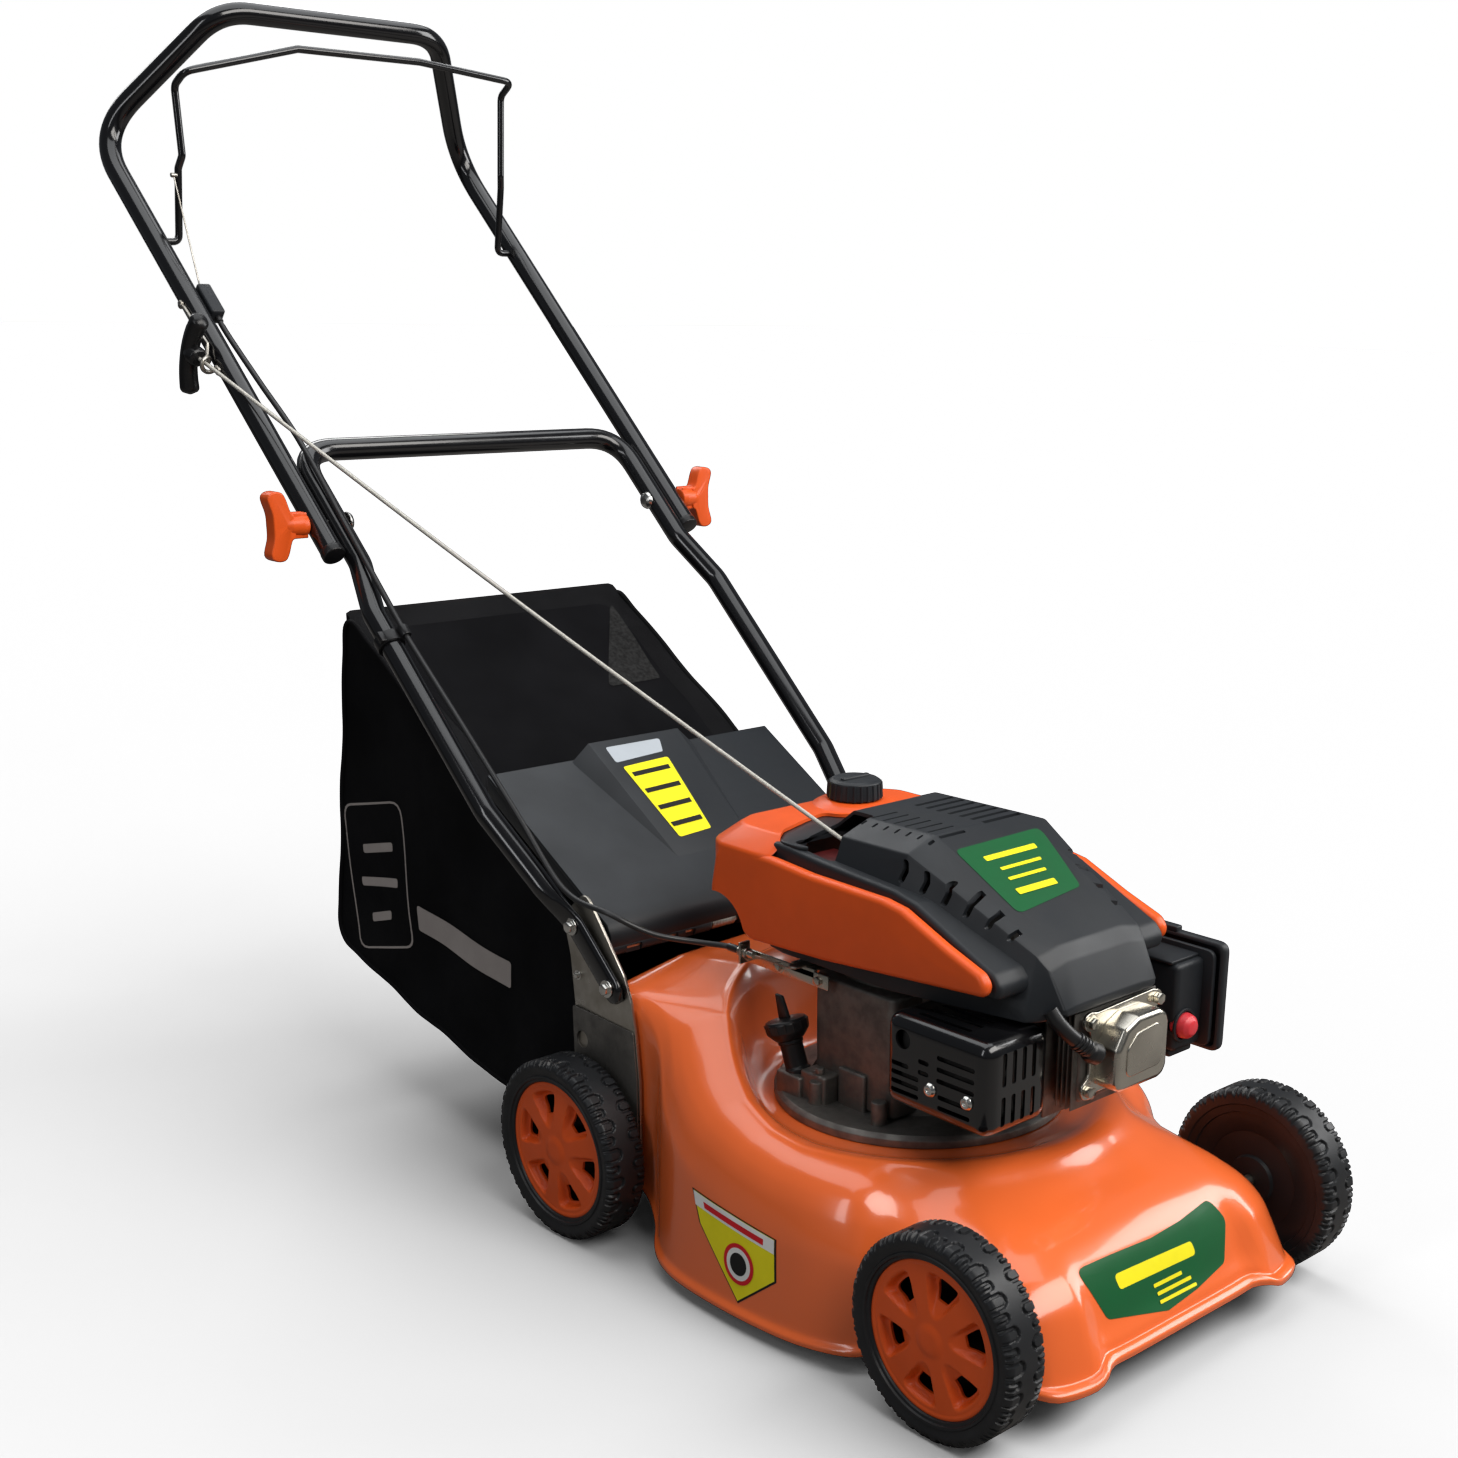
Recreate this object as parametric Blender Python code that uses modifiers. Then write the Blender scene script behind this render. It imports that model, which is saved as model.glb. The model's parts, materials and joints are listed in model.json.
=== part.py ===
"""Push lawn mower with a steel deck, a small vertical-shaft engine and a rear grass bag.

Forward is -Y, up is +Z, and the operator's right hand is towards -X. Dimensions below are in
millimetres, measured from the middle of the wheelbase on the ground. The helpers turn them into
metres and shift them so that the origin lies under the middle of the whole object.
"""
import math

import bmesh
import bpy
import numpy as np
from mathutils import Matrix, Vector

MM = 0.001
GAP = 0.3                      # clearance between pieces that touch

# where the origin lies, in the mower's own millimetres
X_MID = 0.0
Y_MID = 339.15

# wheels and axles
WHEEL_R = 87.5
WHEELBASE = 487.0
WHEEL_IN = 193.0               # inner face of a wheel
WHEEL_OUT = 237.0              # outer face of a wheel
AXLE_R = 6.0

# deck and blade
DECK_C = (0.0, -5.0)           # crankshaft axis
DECK_TOP = 160.0               # flat plate that the engine stands on
DECK_T = 2.0
DECK_HOLE_R = 46.0
FLANGE_R = 135.0
BOLT_CIRCLE = 112.0            # engine mounting bolts
BLADE_L = 405.0
BLADE_Z = 68.0

# handle: both halves lie in one sloping plane
TUBE_R = 11.0
WALL = 1.6                     # of the handle's tubes
SLOPE = math.radians(42.7)
FOOT_Y = 208.0
FOOT_Z = 249.0
LEG_UP_X = 222.3               # upper handle leg
LEG_LOW_X = 200.0              # lower handle leg beside the knob
KNOB_A = 562.0                 # knob bolt, along the leg from its lower bracket bolt
TOP_A = 1101.0                 # upper end of the straight leg
BAR_Y = 908.0
BAR_Z = 1118.0
BAR_X = 130.0
BAIL_R = 3.7
BAIL_Y = 905.0
BAIL_Z = 890.5

# rear flap and grass bag
FLAP_Y = 229.0
FLAP_Z = 277.0
FLAP_X = 178.0
BAG_X = 171.0

BLACK = ("gloss_black", (0.012, 0.012, 0.013), 0.28, 0.0)
PLASTIC = ("black_plastic", (0.018, 0.019, 0.021), 0.55, 0.0)
ORANGE = ("orange_paint", (0.86, 0.13, 0.025), 0.25, 0.0)
STEEL = ("zinc_steel", (0.62, 0.61, 0.58), 0.32, 1.0)
CAST = ("cast_aluminium", (0.27, 0.26, 0.25), 0.5, 0.85)
CHROME = ("chrome", (0.75, 0.74, 0.71), 0.12, 1.0)
RUBBER = ("rubber", (0.02, 0.02, 0.022), 0.75, 0.0)
FABRIC = ("black_fabric", (0.015, 0.015, 0.017), 0.9, 0.0)
ROPE = ("cream_rope", (0.72, 0.68, 0.55), 0.8, 0.0)
RED = ("red_rubber", (0.75, 0.05, 0.07), 0.45, 0.0)
FOAM = ("filter_foam", (0.05, 0.05, 0.055), 0.95, 0.0)

for old in list(bpy.data.objects):
    bpy.data.objects.remove(old, do_unlink=True)

PARTS = bpy.data.collections.new("push_lawn_mower")
bpy.context.scene.collection.children.link(PARTS)
MATERIALS = {}


# ---------------------------------------------------------------- helpers

def point(x, y, z):
    return Vector(((x - X_MID) * MM, (y - Y_MID) * MM, z * MM))


def leg_point(x, along, lift=0.0):
    """A point in the handle's plane: along the slope from the bracket bolt, lift above the plane."""
    y = FOOT_Y + along * math.cos(SLOPE) - lift * math.sin(SLOPE)
    z = FOOT_Z + along * math.sin(SLOPE) + lift * math.cos(SLOPE)
    return (x, y, z)


def material(spec):
    name, colour, rough, metal = spec
    if name not in MATERIALS:
        mat = bpy.data.materials.new(name)
        mat.use_nodes = True
        shader = mat.node_tree.nodes["Principled BSDF"]
        shader.inputs["Base Color"].default_value = (*colour, 1.0)
        shader.inputs["Roughness"].default_value = rough
        shader.inputs["Metallic"].default_value = metal
        mat.diffuse_color = (*colour, 1.0)
        MATERIALS[name] = mat
    return MATERIALS[name]


def add(name, mesh, spec, matrix=Matrix.Identity(4)):
    obj = bpy.data.objects.new(name, mesh)
    obj.matrix_world = matrix
    mesh.materials.clear()
    mesh.materials.append(material(spec))
    PARTS.objects.link(obj)
    return obj


def from_bmesh(name, bm, spec):
    bmesh.ops.recalc_face_normals(bm, faces=bm.faces)
    mesh = bpy.data.meshes.new(name)
    bm.to_mesh(mesh)
    bm.free()
    return add(name, mesh, spec)


def apply(obj):
    """Replace an object by the mesh its modifiers or its curve give, in world space."""
    bpy.context.view_layer.update()
    evaluated = obj.evaluated_get(bpy.context.evaluated_depsgraph_get())
    mesh = bpy.data.meshes.new_from_object(evaluated)
    mesh.transform(obj.matrix_world)
    bm = bmesh.new()
    bm.from_mesh(mesh)
    bmesh.ops.remove_doubles(bm, verts=bm.verts, dist=0.000005)
    bmesh.ops.recalc_face_normals(bm, faces=bm.faces)
    bm.to_mesh(mesh)
    bm.free()
    name = obj.name
    mats = [m for m in obj.data.materials]
    bpy.data.objects.remove(obj, do_unlink=True)
    mesh.name = name
    new = bpy.data.objects.new(name, mesh)
    mesh.materials.clear()
    for mat in mats:
        mesh.materials.append(mat)
    PARTS.objects.link(new)
    return new


def modify(obj, kind, **values):
    mod = obj.modifiers.new(kind.title(), kind)
    for key, value in values.items():
        setattr(mod, key, value)
    return mod


def boolean(obj, others, operation):
    for other in others:
        modify(obj, "BOOLEAN", operation=operation, solver="EXACT", object=other)
        obj = apply(obj)
        bpy.data.objects.remove(other, do_unlink=True)
    return obj


def cut(obj, *others):
    return boolean(obj, others, "DIFFERENCE")


def fuse(obj, *others):
    return boolean(obj, others, "UNION")


def box(name, xs, ys, zs, spec, bevel=0.0, segments=2):
    bm = bmesh.new()
    bmesh.ops.create_cube(bm, size=1.0)
    low = point(min(xs), min(ys), min(zs))
    high = point(max(xs), max(ys), max(zs))
    bmesh.ops.scale(bm, vec=high - low, verts=bm.verts)
    bmesh.ops.translate(bm, vec=(low + high) / 2, verts=bm.verts)
    obj = from_bmesh(name, bm, spec)
    if bevel:
        modify(obj, "BEVEL", width=bevel * MM, segments=segments, limit_method="ANGLE")
        obj = apply(obj)
    return obj


def boxes(name, spans, spec):
    """Several separate boxes in one cutter."""
    bm = bmesh.new()
    for xs, ys, zs in spans:
        made = bmesh.ops.create_cube(bm, size=1.0)["verts"]
        low = point(min(xs), min(ys), min(zs))
        high = point(max(xs), max(ys), max(zs))
        bmesh.ops.scale(bm, vec=high - low, verts=made)
        bmesh.ops.translate(bm, vec=(low + high) / 2, verts=made)
    return from_bmesh(name, bm, spec)


def rod(name, start, end, radius, spec, sides=16, end_radius=None):
    """A cylinder or cone between two points."""
    a, b = point(*start), point(*end)
    bm = bmesh.new()
    bmesh.ops.create_cone(bm, cap_ends=True, segments=sides, radius1=radius * MM,
                          radius2=(radius if end_radius is None else end_radius) * MM,
                          depth=(b - a).length)
    turn = Vector((0, 0, 1)).rotation_difference(b - a).to_matrix().to_4x4()
    bmesh.ops.transform(bm, matrix=Matrix.Translation((a + b) / 2) @ turn, verts=bm.verts)
    return from_bmesh(name, bm, spec)


def hull(name, points, spec):
    bm = bmesh.new()
    for p in points:
        bm.verts.new(point(*p))
    bmesh.ops.convex_hull(bm, input=bm.verts)
    loose = [v for v in bm.verts if not v.link_faces]
    bmesh.ops.delete(bm, geom=loose, context="VERTS")
    return from_bmesh(name, bm, spec)


AXES = {
    "X": Matrix(((0, 0, 1), (1, 0, 0), (0, 1, 0))),      # local Z becomes world X
    "Y": Matrix(((0, 1, 0), (0, 0, 1), (1, 0, 0))),      # local Z becomes world Y
    "Z": Matrix.Identity(3),
}


def turned(name, profile, axis, centre, spec, steps=24):
    """A turned piece: (radius, height) pairs, down the outer side, about an axis through centre."""
    bm = bmesh.new()
    verts = [bm.verts.new((r * MM, 0, h * MM)) for r, h in profile]
    for a, b in zip(verts, verts[1:]):
        bm.edges.new((a, b))
    mesh = bpy.data.meshes.new(name)
    bm.to_mesh(mesh)
    bm.free()
    obj = add(name, mesh, spec, Matrix.Translation(point(*centre)) @ AXES[axis].to_4x4())
    modify(obj, "SCREW", axis="Z", angle=2 * math.pi, steps=steps, render_steps=steps,
           use_merge_vertices=True, merge_threshold=0.00001)
    return apply(obj)


def plate(name, outline, axis, low, high, spec, bevel=0.0):
    """A flat outline with a thickness. Outline pairs are (y, z) for X, (x, z) for Y, (x, y) for Z."""
    curve = bpy.data.curves.new(name, "CURVE")
    curve.dimensions = "2D"
    curve.fill_mode = "BOTH"
    curve.extrude = abs(high - low) / 2 * MM
    spline = curve.splines.new("POLY")
    spline.points.add(len(outline) - 1)
    for spot, (u, v) in zip(spline.points, outline):
        spot.co = (u * MM, v * MM, 0, 1)
    spline.use_cyclic_u = True
    middle = (low + high) / 2
    turn = {
        "X": Matrix(((0, 0, 1), (1, 0, 0), (0, 1, 0))),
        "Y": Matrix(((1, 0, 0), (0, 0, -1), (0, 1, 0))),
        "Z": Matrix.Identity(3),
    }[axis].to_4x4()
    place = {"X": (middle, 0, 0), "Y": (0, middle, 0), "Z": (0, 0, middle)}[axis]
    obj = add(name, curve, spec, Matrix.Translation(point(*place)) @ turn)
    obj = apply(obj)
    if bevel:
        modify(obj, "BEVEL", width=bevel * MM, segments=2, limit_method="ANGLE")
        obj = apply(obj)
    return obj


def fillet(points, radius, steps=5, closed=False):
    """Round the corners of a path."""
    pts = [Vector(p) for p in points]
    count = len(pts)
    out = []
    for i, p in enumerate(pts):
        if not closed and i in (0, count - 1):
            out.append(p)
            continue
        before, after = pts[i - 1], pts[(i + 1) % count]
        u, v = (before - p), (after - p)
        bend = math.pi - u.angle(v)
        if bend < 0.02:
            out.append(p)
            continue
        reach = min(radius * math.tan(bend / 2), 0.45 * u.length, 0.45 * v.length)
        a, b = p + u.normalized() * reach, p + v.normalized() * reach
        for k in range(steps + 1):
            t = k / steps
            out.append((1 - t) ** 2 * a + 2 * t * (1 - t) * p + t * t * b)
    return [tuple(p) for p in out]


def smooth_path(points, count):
    """Points evenly spread along a smooth curve through the given points."""
    pts = np.array(points, float)
    pts = np.vstack([2 * pts[0] - pts[1], pts, 2 * pts[-1] - pts[-2]])
    dense = []
    for i in range(1, len(pts) - 2):
        p0, p1, p2, p3 = pts[i - 1:i + 3]
        for t in np.linspace(0, 1, 24, endpoint=False):
            dense.append(0.5 * (2 * p1 + (p2 - p0) * t + (2 * p0 - 5 * p1 + 4 * p2 - p3) * t ** 2
                                + (3 * p1 - 3 * p2 + p3 - p0) * t ** 3))
    dense.append(pts[-2])
    dense = np.array(dense)
    run = np.r_[0, np.cumsum(np.linalg.norm(np.diff(dense, axis=0), axis=1))]
    spots = np.linspace(0, run[-1], count)
    return [tuple(np.interp(s, run, dense[:, k]) for k in range(3)) for s in spots]


def tube(name, points, radius, spec, resolution=2, closed=False):
    curve = bpy.data.curves.new(name, "CURVE")
    curve.dimensions = "3D"
    curve.bevel_depth = radius * MM
    curve.bevel_resolution = resolution
    curve.use_fill_caps = True
    spline = curve.splines.new("POLY")
    spline.points.add(len(points) - 1)
    for spot, p in zip(spline.points, points):
        spot.co = (*point(*p), 1)
    spline.use_cyclic_u = closed
    return apply(add(name, curve, spec))


def hollow(name, points, wall, short):
    """The empty inside of a tube, ending a little before its ends. It is cut after the holes."""
    pts = [Vector(p) for p in points]
    pts[0] += (pts[1] - pts[0]).normalized() * short
    pts[-1] += (pts[-2] - pts[-1]).normalized() * short
    return tube(name, [tuple(p) for p in pts], TUBE_R - wall, BLACK)


def mirrored(points):
    return [(-x, y, z) for x, y, z in points]


# ---------------------------------------------------------------- deck

OUTLINE = [                    # half of the lower edge: x, y, height of the lip
    (0, -320, 43), (120, -318, 43), (158, -310, 42), (175, -294, 40), (181, -262, 36),
    (182, -190, 30), (189, -152, 22), (207, -128, 17), (221, -85, 15), (226, -30, 14),
    (226, 35, 14), (221, 85, 15), (207, 122, 18), (187, 150, 30), (180, 175, 50),
    (180, 215, 60), (172, 228, 62), (0, 228, 62),
]


def deck_edge(angle):
    """Distance from the crankshaft to the lower edge in one direction, and the lip's height."""
    dx, dy = abs(math.sin(angle)), -math.cos(angle)
    for (x0, y0, z0), (x1, y1, z1) in zip(OUTLINE, OUTLINE[1:]):
        y0, y1 = y0 - DECK_C[1], y1 - DECK_C[1]
        ex, ey = x1 - x0, y1 - y0
        det = dx * ey - dy * ex
        if abs(det) < 1e-9:
            continue
        reach = (x0 * ey - y0 * ex) / det
        part = (x0 * dy - y0 * dx) / det
        if reach > 0 and -1e-9 <= part <= 1 + 1e-9:
            return reach, z0 + (z1 - z0) * part
    return 228 - DECK_C[1], 62


def ease(value, start, end):
    t = min(max((value - start) / (end - start), 0.0), 1.0)
    return t * t * (3 - 2 * t)


def deck_section(angle):
    """(distance, height) pairs from the engine hole out to the lip. Angle 0 is straight ahead."""
    turn = abs(math.degrees(angle))
    reach, lip = deck_edge(angle)
    crest_r = 176.0
    crest = float(np.interp(180 - turn, [0, 24, 50, 65, 74, 88, 100, 180],
                            [261, 258, 235, 203, 186, 172, 167, 166]))
    span = reach - crest_r
    front = 1 - ease(turn, 42, 62)
    rear = ease(turn, 118, 140)
    side = 1 - front - rear
    inner = [
        (DECK_HOLE_R, DECK_TOP), (100, DECK_TOP), (146, DECK_TOP),
        (crest_r - 20, DECK_TOP + 0.25 * (crest - DECK_TOP)),
        (crest_r - 9, DECK_TOP + 0.8 * (crest - DECK_TOP)), (crest_r, crest),
    ]
    ahead = [(0.15, 153), (0.40, 138), (0.66, 122), (0.78, 106), (0.90, 68), (0.97, lip + 8),
             (1 + 3 / span, lip)]
    beside = [(0.20, crest - 2), (0.50, crest - 11), (0.78, crest - 34), (0.94, crest - 72),
              (1.0, lip + 24), (1 + 1 / span, lip + 6), (1 + 5 / span, lip)]
    behind = [(0.20, crest), (0.50, crest + 1), (0.80, crest + 1.5), (0.96, crest - 4),
              (1.0, crest - 18), (1.0, lip + 8), (1 + 1 / span, lip)]
    outer = []
    for f, s, b in zip(ahead, beside, behind):
        fraction = front * f[0] + side * s[0] + rear * b[0]
        height = front * f[1] + side * s[1] + rear * b[1]
        outer.append((crest_r + fraction * span, height))
    return inner + outer


def build_deck():
    steps = 48
    bm = bmesh.new()
    rings = []
    for k in range(steps):
        angle = -math.pi + 2 * math.pi * k / steps
        rings.append([bm.verts.new(point(DECK_C[0] + r * math.sin(angle),
                                         DECK_C[1] - r * math.cos(angle), z))
                      for r, z in deck_section(angle)])
    for k in range(steps):
        a, b = rings[k], rings[(k + 1) % steps]
        for j in range(len(a) - 1):
            bm.faces.new((a[j], b[j], b[j + 1], a[j + 1]))
    mesh = bpy.data.meshes.new("deck")
    bmesh.ops.recalc_face_normals(bm, faces=bm.faces)
    flat = [f for f in bm.faces if abs(f.normal.z) > 0.999]
    if flat and flat[0].normal.z < 0:
        bmesh.ops.reverse_faces(bm, faces=bm.faces)
    bm.to_mesh(mesh)
    bm.free()
    deck = add("deck", mesh, ORANGE)
    modify(deck, "SOLIDIFY", thickness=DECK_T * MM, offset=-1.0)
    deck = apply(deck)
    axle_hole = rod("cut", (-260, -WHEELBASE / 2, WHEEL_R), (260, -WHEELBASE / 2, WHEEL_R),
                    AXLE_R + 0.5, ORANGE)
    outlet = box("cut", (-140, 140), (214, 250), (92, 236), ORANGE)
    return cut(deck, axle_hole, outlet)


# ---------------------------------------------------------------- wheels, axles, blade

CORNERS = [("front_right", -1, -WHEELBASE / 2), ("front_left", 1, -WHEELBASE / 2),
           ("rear_right", -1, WHEELBASE / 2), ("rear_left", 1, WHEELBASE / 2)]


def build_wheel(tag, side, y):
    """Black wheel with its tread, and the coloured cover on its outer face."""
    centre = (0, y, WHEEL_R)
    profile = [
        (6.5, 226), (15, 226), (15, 201), (66, 201), (68.5, 232), (73, WHEEL_OUT), (82, 236),
        (WHEEL_R, 229), (WHEEL_R, 201), (82, 194), (74, WHEEL_IN), (15, 194), (6.5, 194), (6.5, 226),
    ]
    if side < 0:
        profile = [(r, -x) for r, x in reversed(profile)]
    turned("wheel_" + tag, profile, "X", centre, RUBBER, steps=24)
    face = [(0, 235.5), (12, 235), (24, 232.5), (66.6, 230.5), (66.6, 226.6), (0, 226.6)]
    if side < 0:
        face = [(r, -x) for r, x in reversed(face)]
    cover = turned("wheel_cover_" + tag, face, "X", centre, ORANGE, steps=26)
    windows = []
    for k in range(6):
        a = math.radians(60 * k + 30)
        corners = []
        for r, da in ((30, 0.13), (56, 0.30), (59, 0.0), (56, -0.30), (30, -0.13)):
            corners.append((y + r * math.cos(a + da), WHEEL_R + r * math.sin(a + da)))
        windows.append(plate("cut", corners, "X", side * 220, side * 240, ORANGE))
    cut(cover, *windows)


def build_running_gear():
    for tag, side, y in CORNERS:
        build_wheel(tag, side, y)
    for tag, y in (("front", -WHEELBASE / 2), ("rear", WHEELBASE / 2)):
        rod("axle_" + tag, (-225, y, WHEEL_R), (225, y, WHEEL_R), AXLE_R, STEEL)


def build_blade():
    x, y = DECK_C
    half = BLADE_L / 2
    outline = [(-half, -16), (-half + 60, -24), (half - 60, -20), (half, -20), (half, 16),
               (half - 60, 24), (-half + 60, 20), (-half, 20)]
    outline = [(x + u, y + v) for u, v in outline]
    blade = plate("blade", outline, "Z", BLADE_Z, BLADE_Z + 3.6, STEEL)
    hole = rod("cut", (x, y, BLADE_Z - 5), (x, y, BLADE_Z + 9), 5.3, STEEL)
    cut(blade, hole)
    low = BLADE_Z + 3.6 + GAP
    turned("blade_adapter", [(12.9, low + 26), (17, low + 26), (17, low + 6), (27, low + 6),
                             (27, low), (12.9, low), (12.9, low + 26)], "Z", (x, y, 0), CAST)
    turned("blade_bolt", [(0, 92), (4.5, 92), (4.5, BLADE_Z - GAP), (13, BLADE_Z - GAP),
                          (13, BLADE_Z - 3), (9, BLADE_Z - 3), (9, BLADE_Z - 10), (0, BLADE_Z - 10)],
           "Z", (x, y, 0), STEEL, steps=16)


# ---------------------------------------------------------------- handle

LEG_SHAPE = [(197.3, 88), (216, 205), (216, 445), (LEG_LOW_X, 508)]


def build_lower_handle():
    leg = [leg_point(x, a) for x, a in LEG_SHAPE] + [leg_point(LEG_LOW_X, 656)]
    path = fillet(leg + list(reversed(mirrored(leg))), 42, steps=4)
    handle = tube("lower_handle", path, TUBE_R, BLACK)
    feet = []
    for side in (-1, 1):
        outline = []
        for k in range(7):
            a = math.pi * k / 6
            outline.append(leg_point(0, -6 - 12 * math.sin(a), 12.5 * math.cos(a))[1:])
        outline += [leg_point(0, 104, -11)[1:], leg_point(0, 104, 11)[1:]]
        feet.append(plate("foot", outline, "X", side * 185.7, side * 195.6, BLACK))
    handle = fuse(handle, *feet)
    drills = []
    for side in (-1, 1):
        for along in (0, 70):
            drills.append(rod("cut", leg_point(side * 180, along), leg_point(side * 205, along),
                              3.4, BLACK))
        drills.append(rod("cut", leg_point(side * 180, KNOB_A), leg_point(side * 220, KNOB_A),
                          3.4, BLACK))
    cut(handle, *drills, hollow("cut", path, WALL, 24))
    for tag, side in (("right", -1), ("left", 1)):
        for place, along in (("low", 0), ("high", 70)):
            _, y, z = leg_point(0, along)
            profile = [(0, 201.2), (5, 201.2), (7, 199.5), (7.5, 195.9), (3, 195.9), (3, 182.6),
                       (0, 182.6)]
            if side < 0:
                profile = [(r, -x) for r, x in reversed(profile)]
            turned("bracket_bolt_%s_%s" % (place, tag), profile, "X", (0, y, z), STEEL, steps=12)


def build_upper_handle():
    leg = [leg_point(LEG_UP_X, 526), leg_point(LEG_UP_X, TOP_A), (BAR_X, BAR_Y, BAR_Z)]
    ends = fillet(leg + list(reversed(mirrored(leg))), 58, steps=5)
    handle = tube("upper_handle", ends, TUBE_R, BLACK)
    drills = []
    for side in (-1, 1):
        drills.append(rod("cut", leg_point(side * 205, KNOB_A), leg_point(side * 240, KNOB_A),
                          3.4, BLACK))
        drills.append(rod("cut", (side * 200, BAIL_Y, BAIL_Z), (side * 219, BAIL_Y, BAIL_Z),
                          BAIL_R + 0.4, BLACK, sides=12))
    for along in (765, 856):
        drills.append(rod("cut", leg_point(-225, along), leg_point(-240, along), 2.9, BLACK, sides=10))
    cut(handle, *drills, hollow("cut", ends, WALL, 5))
    _, y, z = leg_point(0, KNOB_A)
    for tag, side in (("right", -1), ("left", 1)):
        profile = [(0, 251), (3, 251), (3, 188.7), (8.5, 188.7), (7.5, 186), (4, 184.5), (0, 184)]
        if side < 0:
            profile = [(r, -x) for r, x in reversed(profile)]
        turned("handle_bolt_" + tag, profile, "X", (0, y, z), STEEL, steps=16)
        build_knob(tag, side, y, z)


def build_knob(tag, side, y, z):
    """Wing knob: a round hub that opens into a waisted grip."""
    inner = LEG_UP_X + TUBE_R + GAP
    wing = [(248, -10), (253, -13), (258, -27), (263, -32), (272, -31), (275, -26), (271.5, -10),
            (271.5, 10), (275, 26), (272, 31), (263, 32), (258, 27), (253, 13), (248, 10)]
    wing = [(side * x, z + h) for x, h in wing]
    grip = plate("knob_" + tag, wing, "Y", y - 8, y + 8, ORANGE)
    hub = rod("hub", (side * inner, y, z), (side * 256, y, z), 10.5, ORANGE, sides=12)
    grip = fuse(grip, hub)
    bore = rod("cut", (side * 230, y, z), (side * 252.5, y, z), 3.4, ORANGE)
    cut(grip, bore)


def build_bail():
    foot = [(213.5, BAIL_Y, BAIL_Z), (197, BAIL_Y, BAIL_Z), (197, 893, 962), (194, 888, 974)]
    right = mirrored(foot) + [(-197, 886, 1040), (-197, 862, 1052), (-70, 862, 1084)]
    left = [(76, 862, 1084.5), (197, 864, 1074), (197, 886, 1060)] + list(reversed(foot))
    path = fillet(right + left, 9, steps=3)
    tube("bail_lever", path, BAIL_R, BLACK, resolution=1)


def build_controls():
    """Cable stop, clip, brake cable and wire, starter rope, guide and grip."""
    centre = leg_point(-203.0, 858)
    stop = box("cable_stop", (-8, 7), (-20, 20), (-9, 9), PLASTIC, bevel=2.5)
    stop.data.transform(Matrix.Translation(-point(0, 0, 0)))
    stop.data.transform(Matrix.Rotation(SLOPE, 4, "X"))
    stop.data.transform(Matrix.Translation(point(*centre)))
    bore = rod("cut", leg_point(-202.5, 830), leg_point(-202.5, 850), 3.2, PLASTIC, sides=12)
    wire_hole = rod("cut", leg_point(-202.5, 845), leg_point(-202.5, 885), 1.4, PLASTIC, sides=8)
    cut(stop, bore, wire_hole)

    band = rod("cable_clip", leg_point(-216, 405), leg_point(-216, 417), 14.0, PLASTIC, sides=20)
    eye = rod("eye", leg_point(-205.5, 405, 15), leg_point(-205.5, 417, 15), 5.4, PLASTIC, sides=14)
    band = fuse(band, eye)
    cut(band, rod("cut", leg_point(-216, 395), leg_point(-216, 425), TUBE_R + GAP + 0.1, PLASTIC,
                  sides=20),
        rod("cut", leg_point(-205.5, 395, 15), leg_point(-205.5, 425, 15), 3.2, PLASTIC, sides=12))

    cable = [leg_point(-202.5, 849), leg_point(-202.5, 815), leg_point(-203, 740, 8),
             leg_point(-203, 655, 17), leg_point(-205, 540, 17), leg_point(-205.5, 425, 15.2),
             leg_point(-205.5, 397, 14.9), leg_point(-203, 290, 18), leg_point(-199, 190, 18),
             leg_point(-196, 100, 19), (-187, 212, 318), (-160, 184, 300), (-127, 160, 291),
             (-109, 138, 288.3), (-108, 122, 288), (-108, 108, 288)]
    tube("brake_cable", smooth_path(cable, 50), 2.7, BLACK, resolution=2)
    wire = [leg_point(-202.5, 851.5), leg_point(-202.5, 884), (-202.6, 893, 955)]
    tube("brake_wire", wire, 0.9, STEEL, resolution=1)

    build_rope_guide()
    build_starter()


GUIDE = leg_point(-243.0, 772, 1.0)             # where the rope leaves its guide
ENTRY = (-66.0, 30.0, 402.0)                     # where it enters the engine


def rope_point(distance):
    """A point on the rope's line, measured from the guide; positive is away from the engine."""
    a, b = Vector(GUIDE), Vector(ENTRY)
    return tuple(a + (a - b).normalized() * distance)


def build_rope_guide():
    """One steel wire: two feet in the handle leg and an open turn that the rope runs through."""
    loop = []
    along = (Vector(GUIDE) - Vector(ENTRY)).normalized()
    inner = (Vector((1, 0, 0)) - along * along.x).normalized()
    over = along.cross(inner)
    for k in range(15):
        a = math.radians(28 * k)
        spot = Vector(rope_point(-5 + 0.9 * k)) + inner * 6.6 * math.cos(a) + over * 6.6 * math.sin(a)
        loop.append(tuple(spot))
    start = [leg_point(-227, 765), leg_point(-235, 765)]
    end = [leg_point(-236, 794, 8), leg_point(-236, 848, 4), leg_point(-235.5, 856), leg_point(-227, 856)]
    tube("rope_guide", start + loop + end, 2.0, STEEL, resolution=1)


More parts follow.
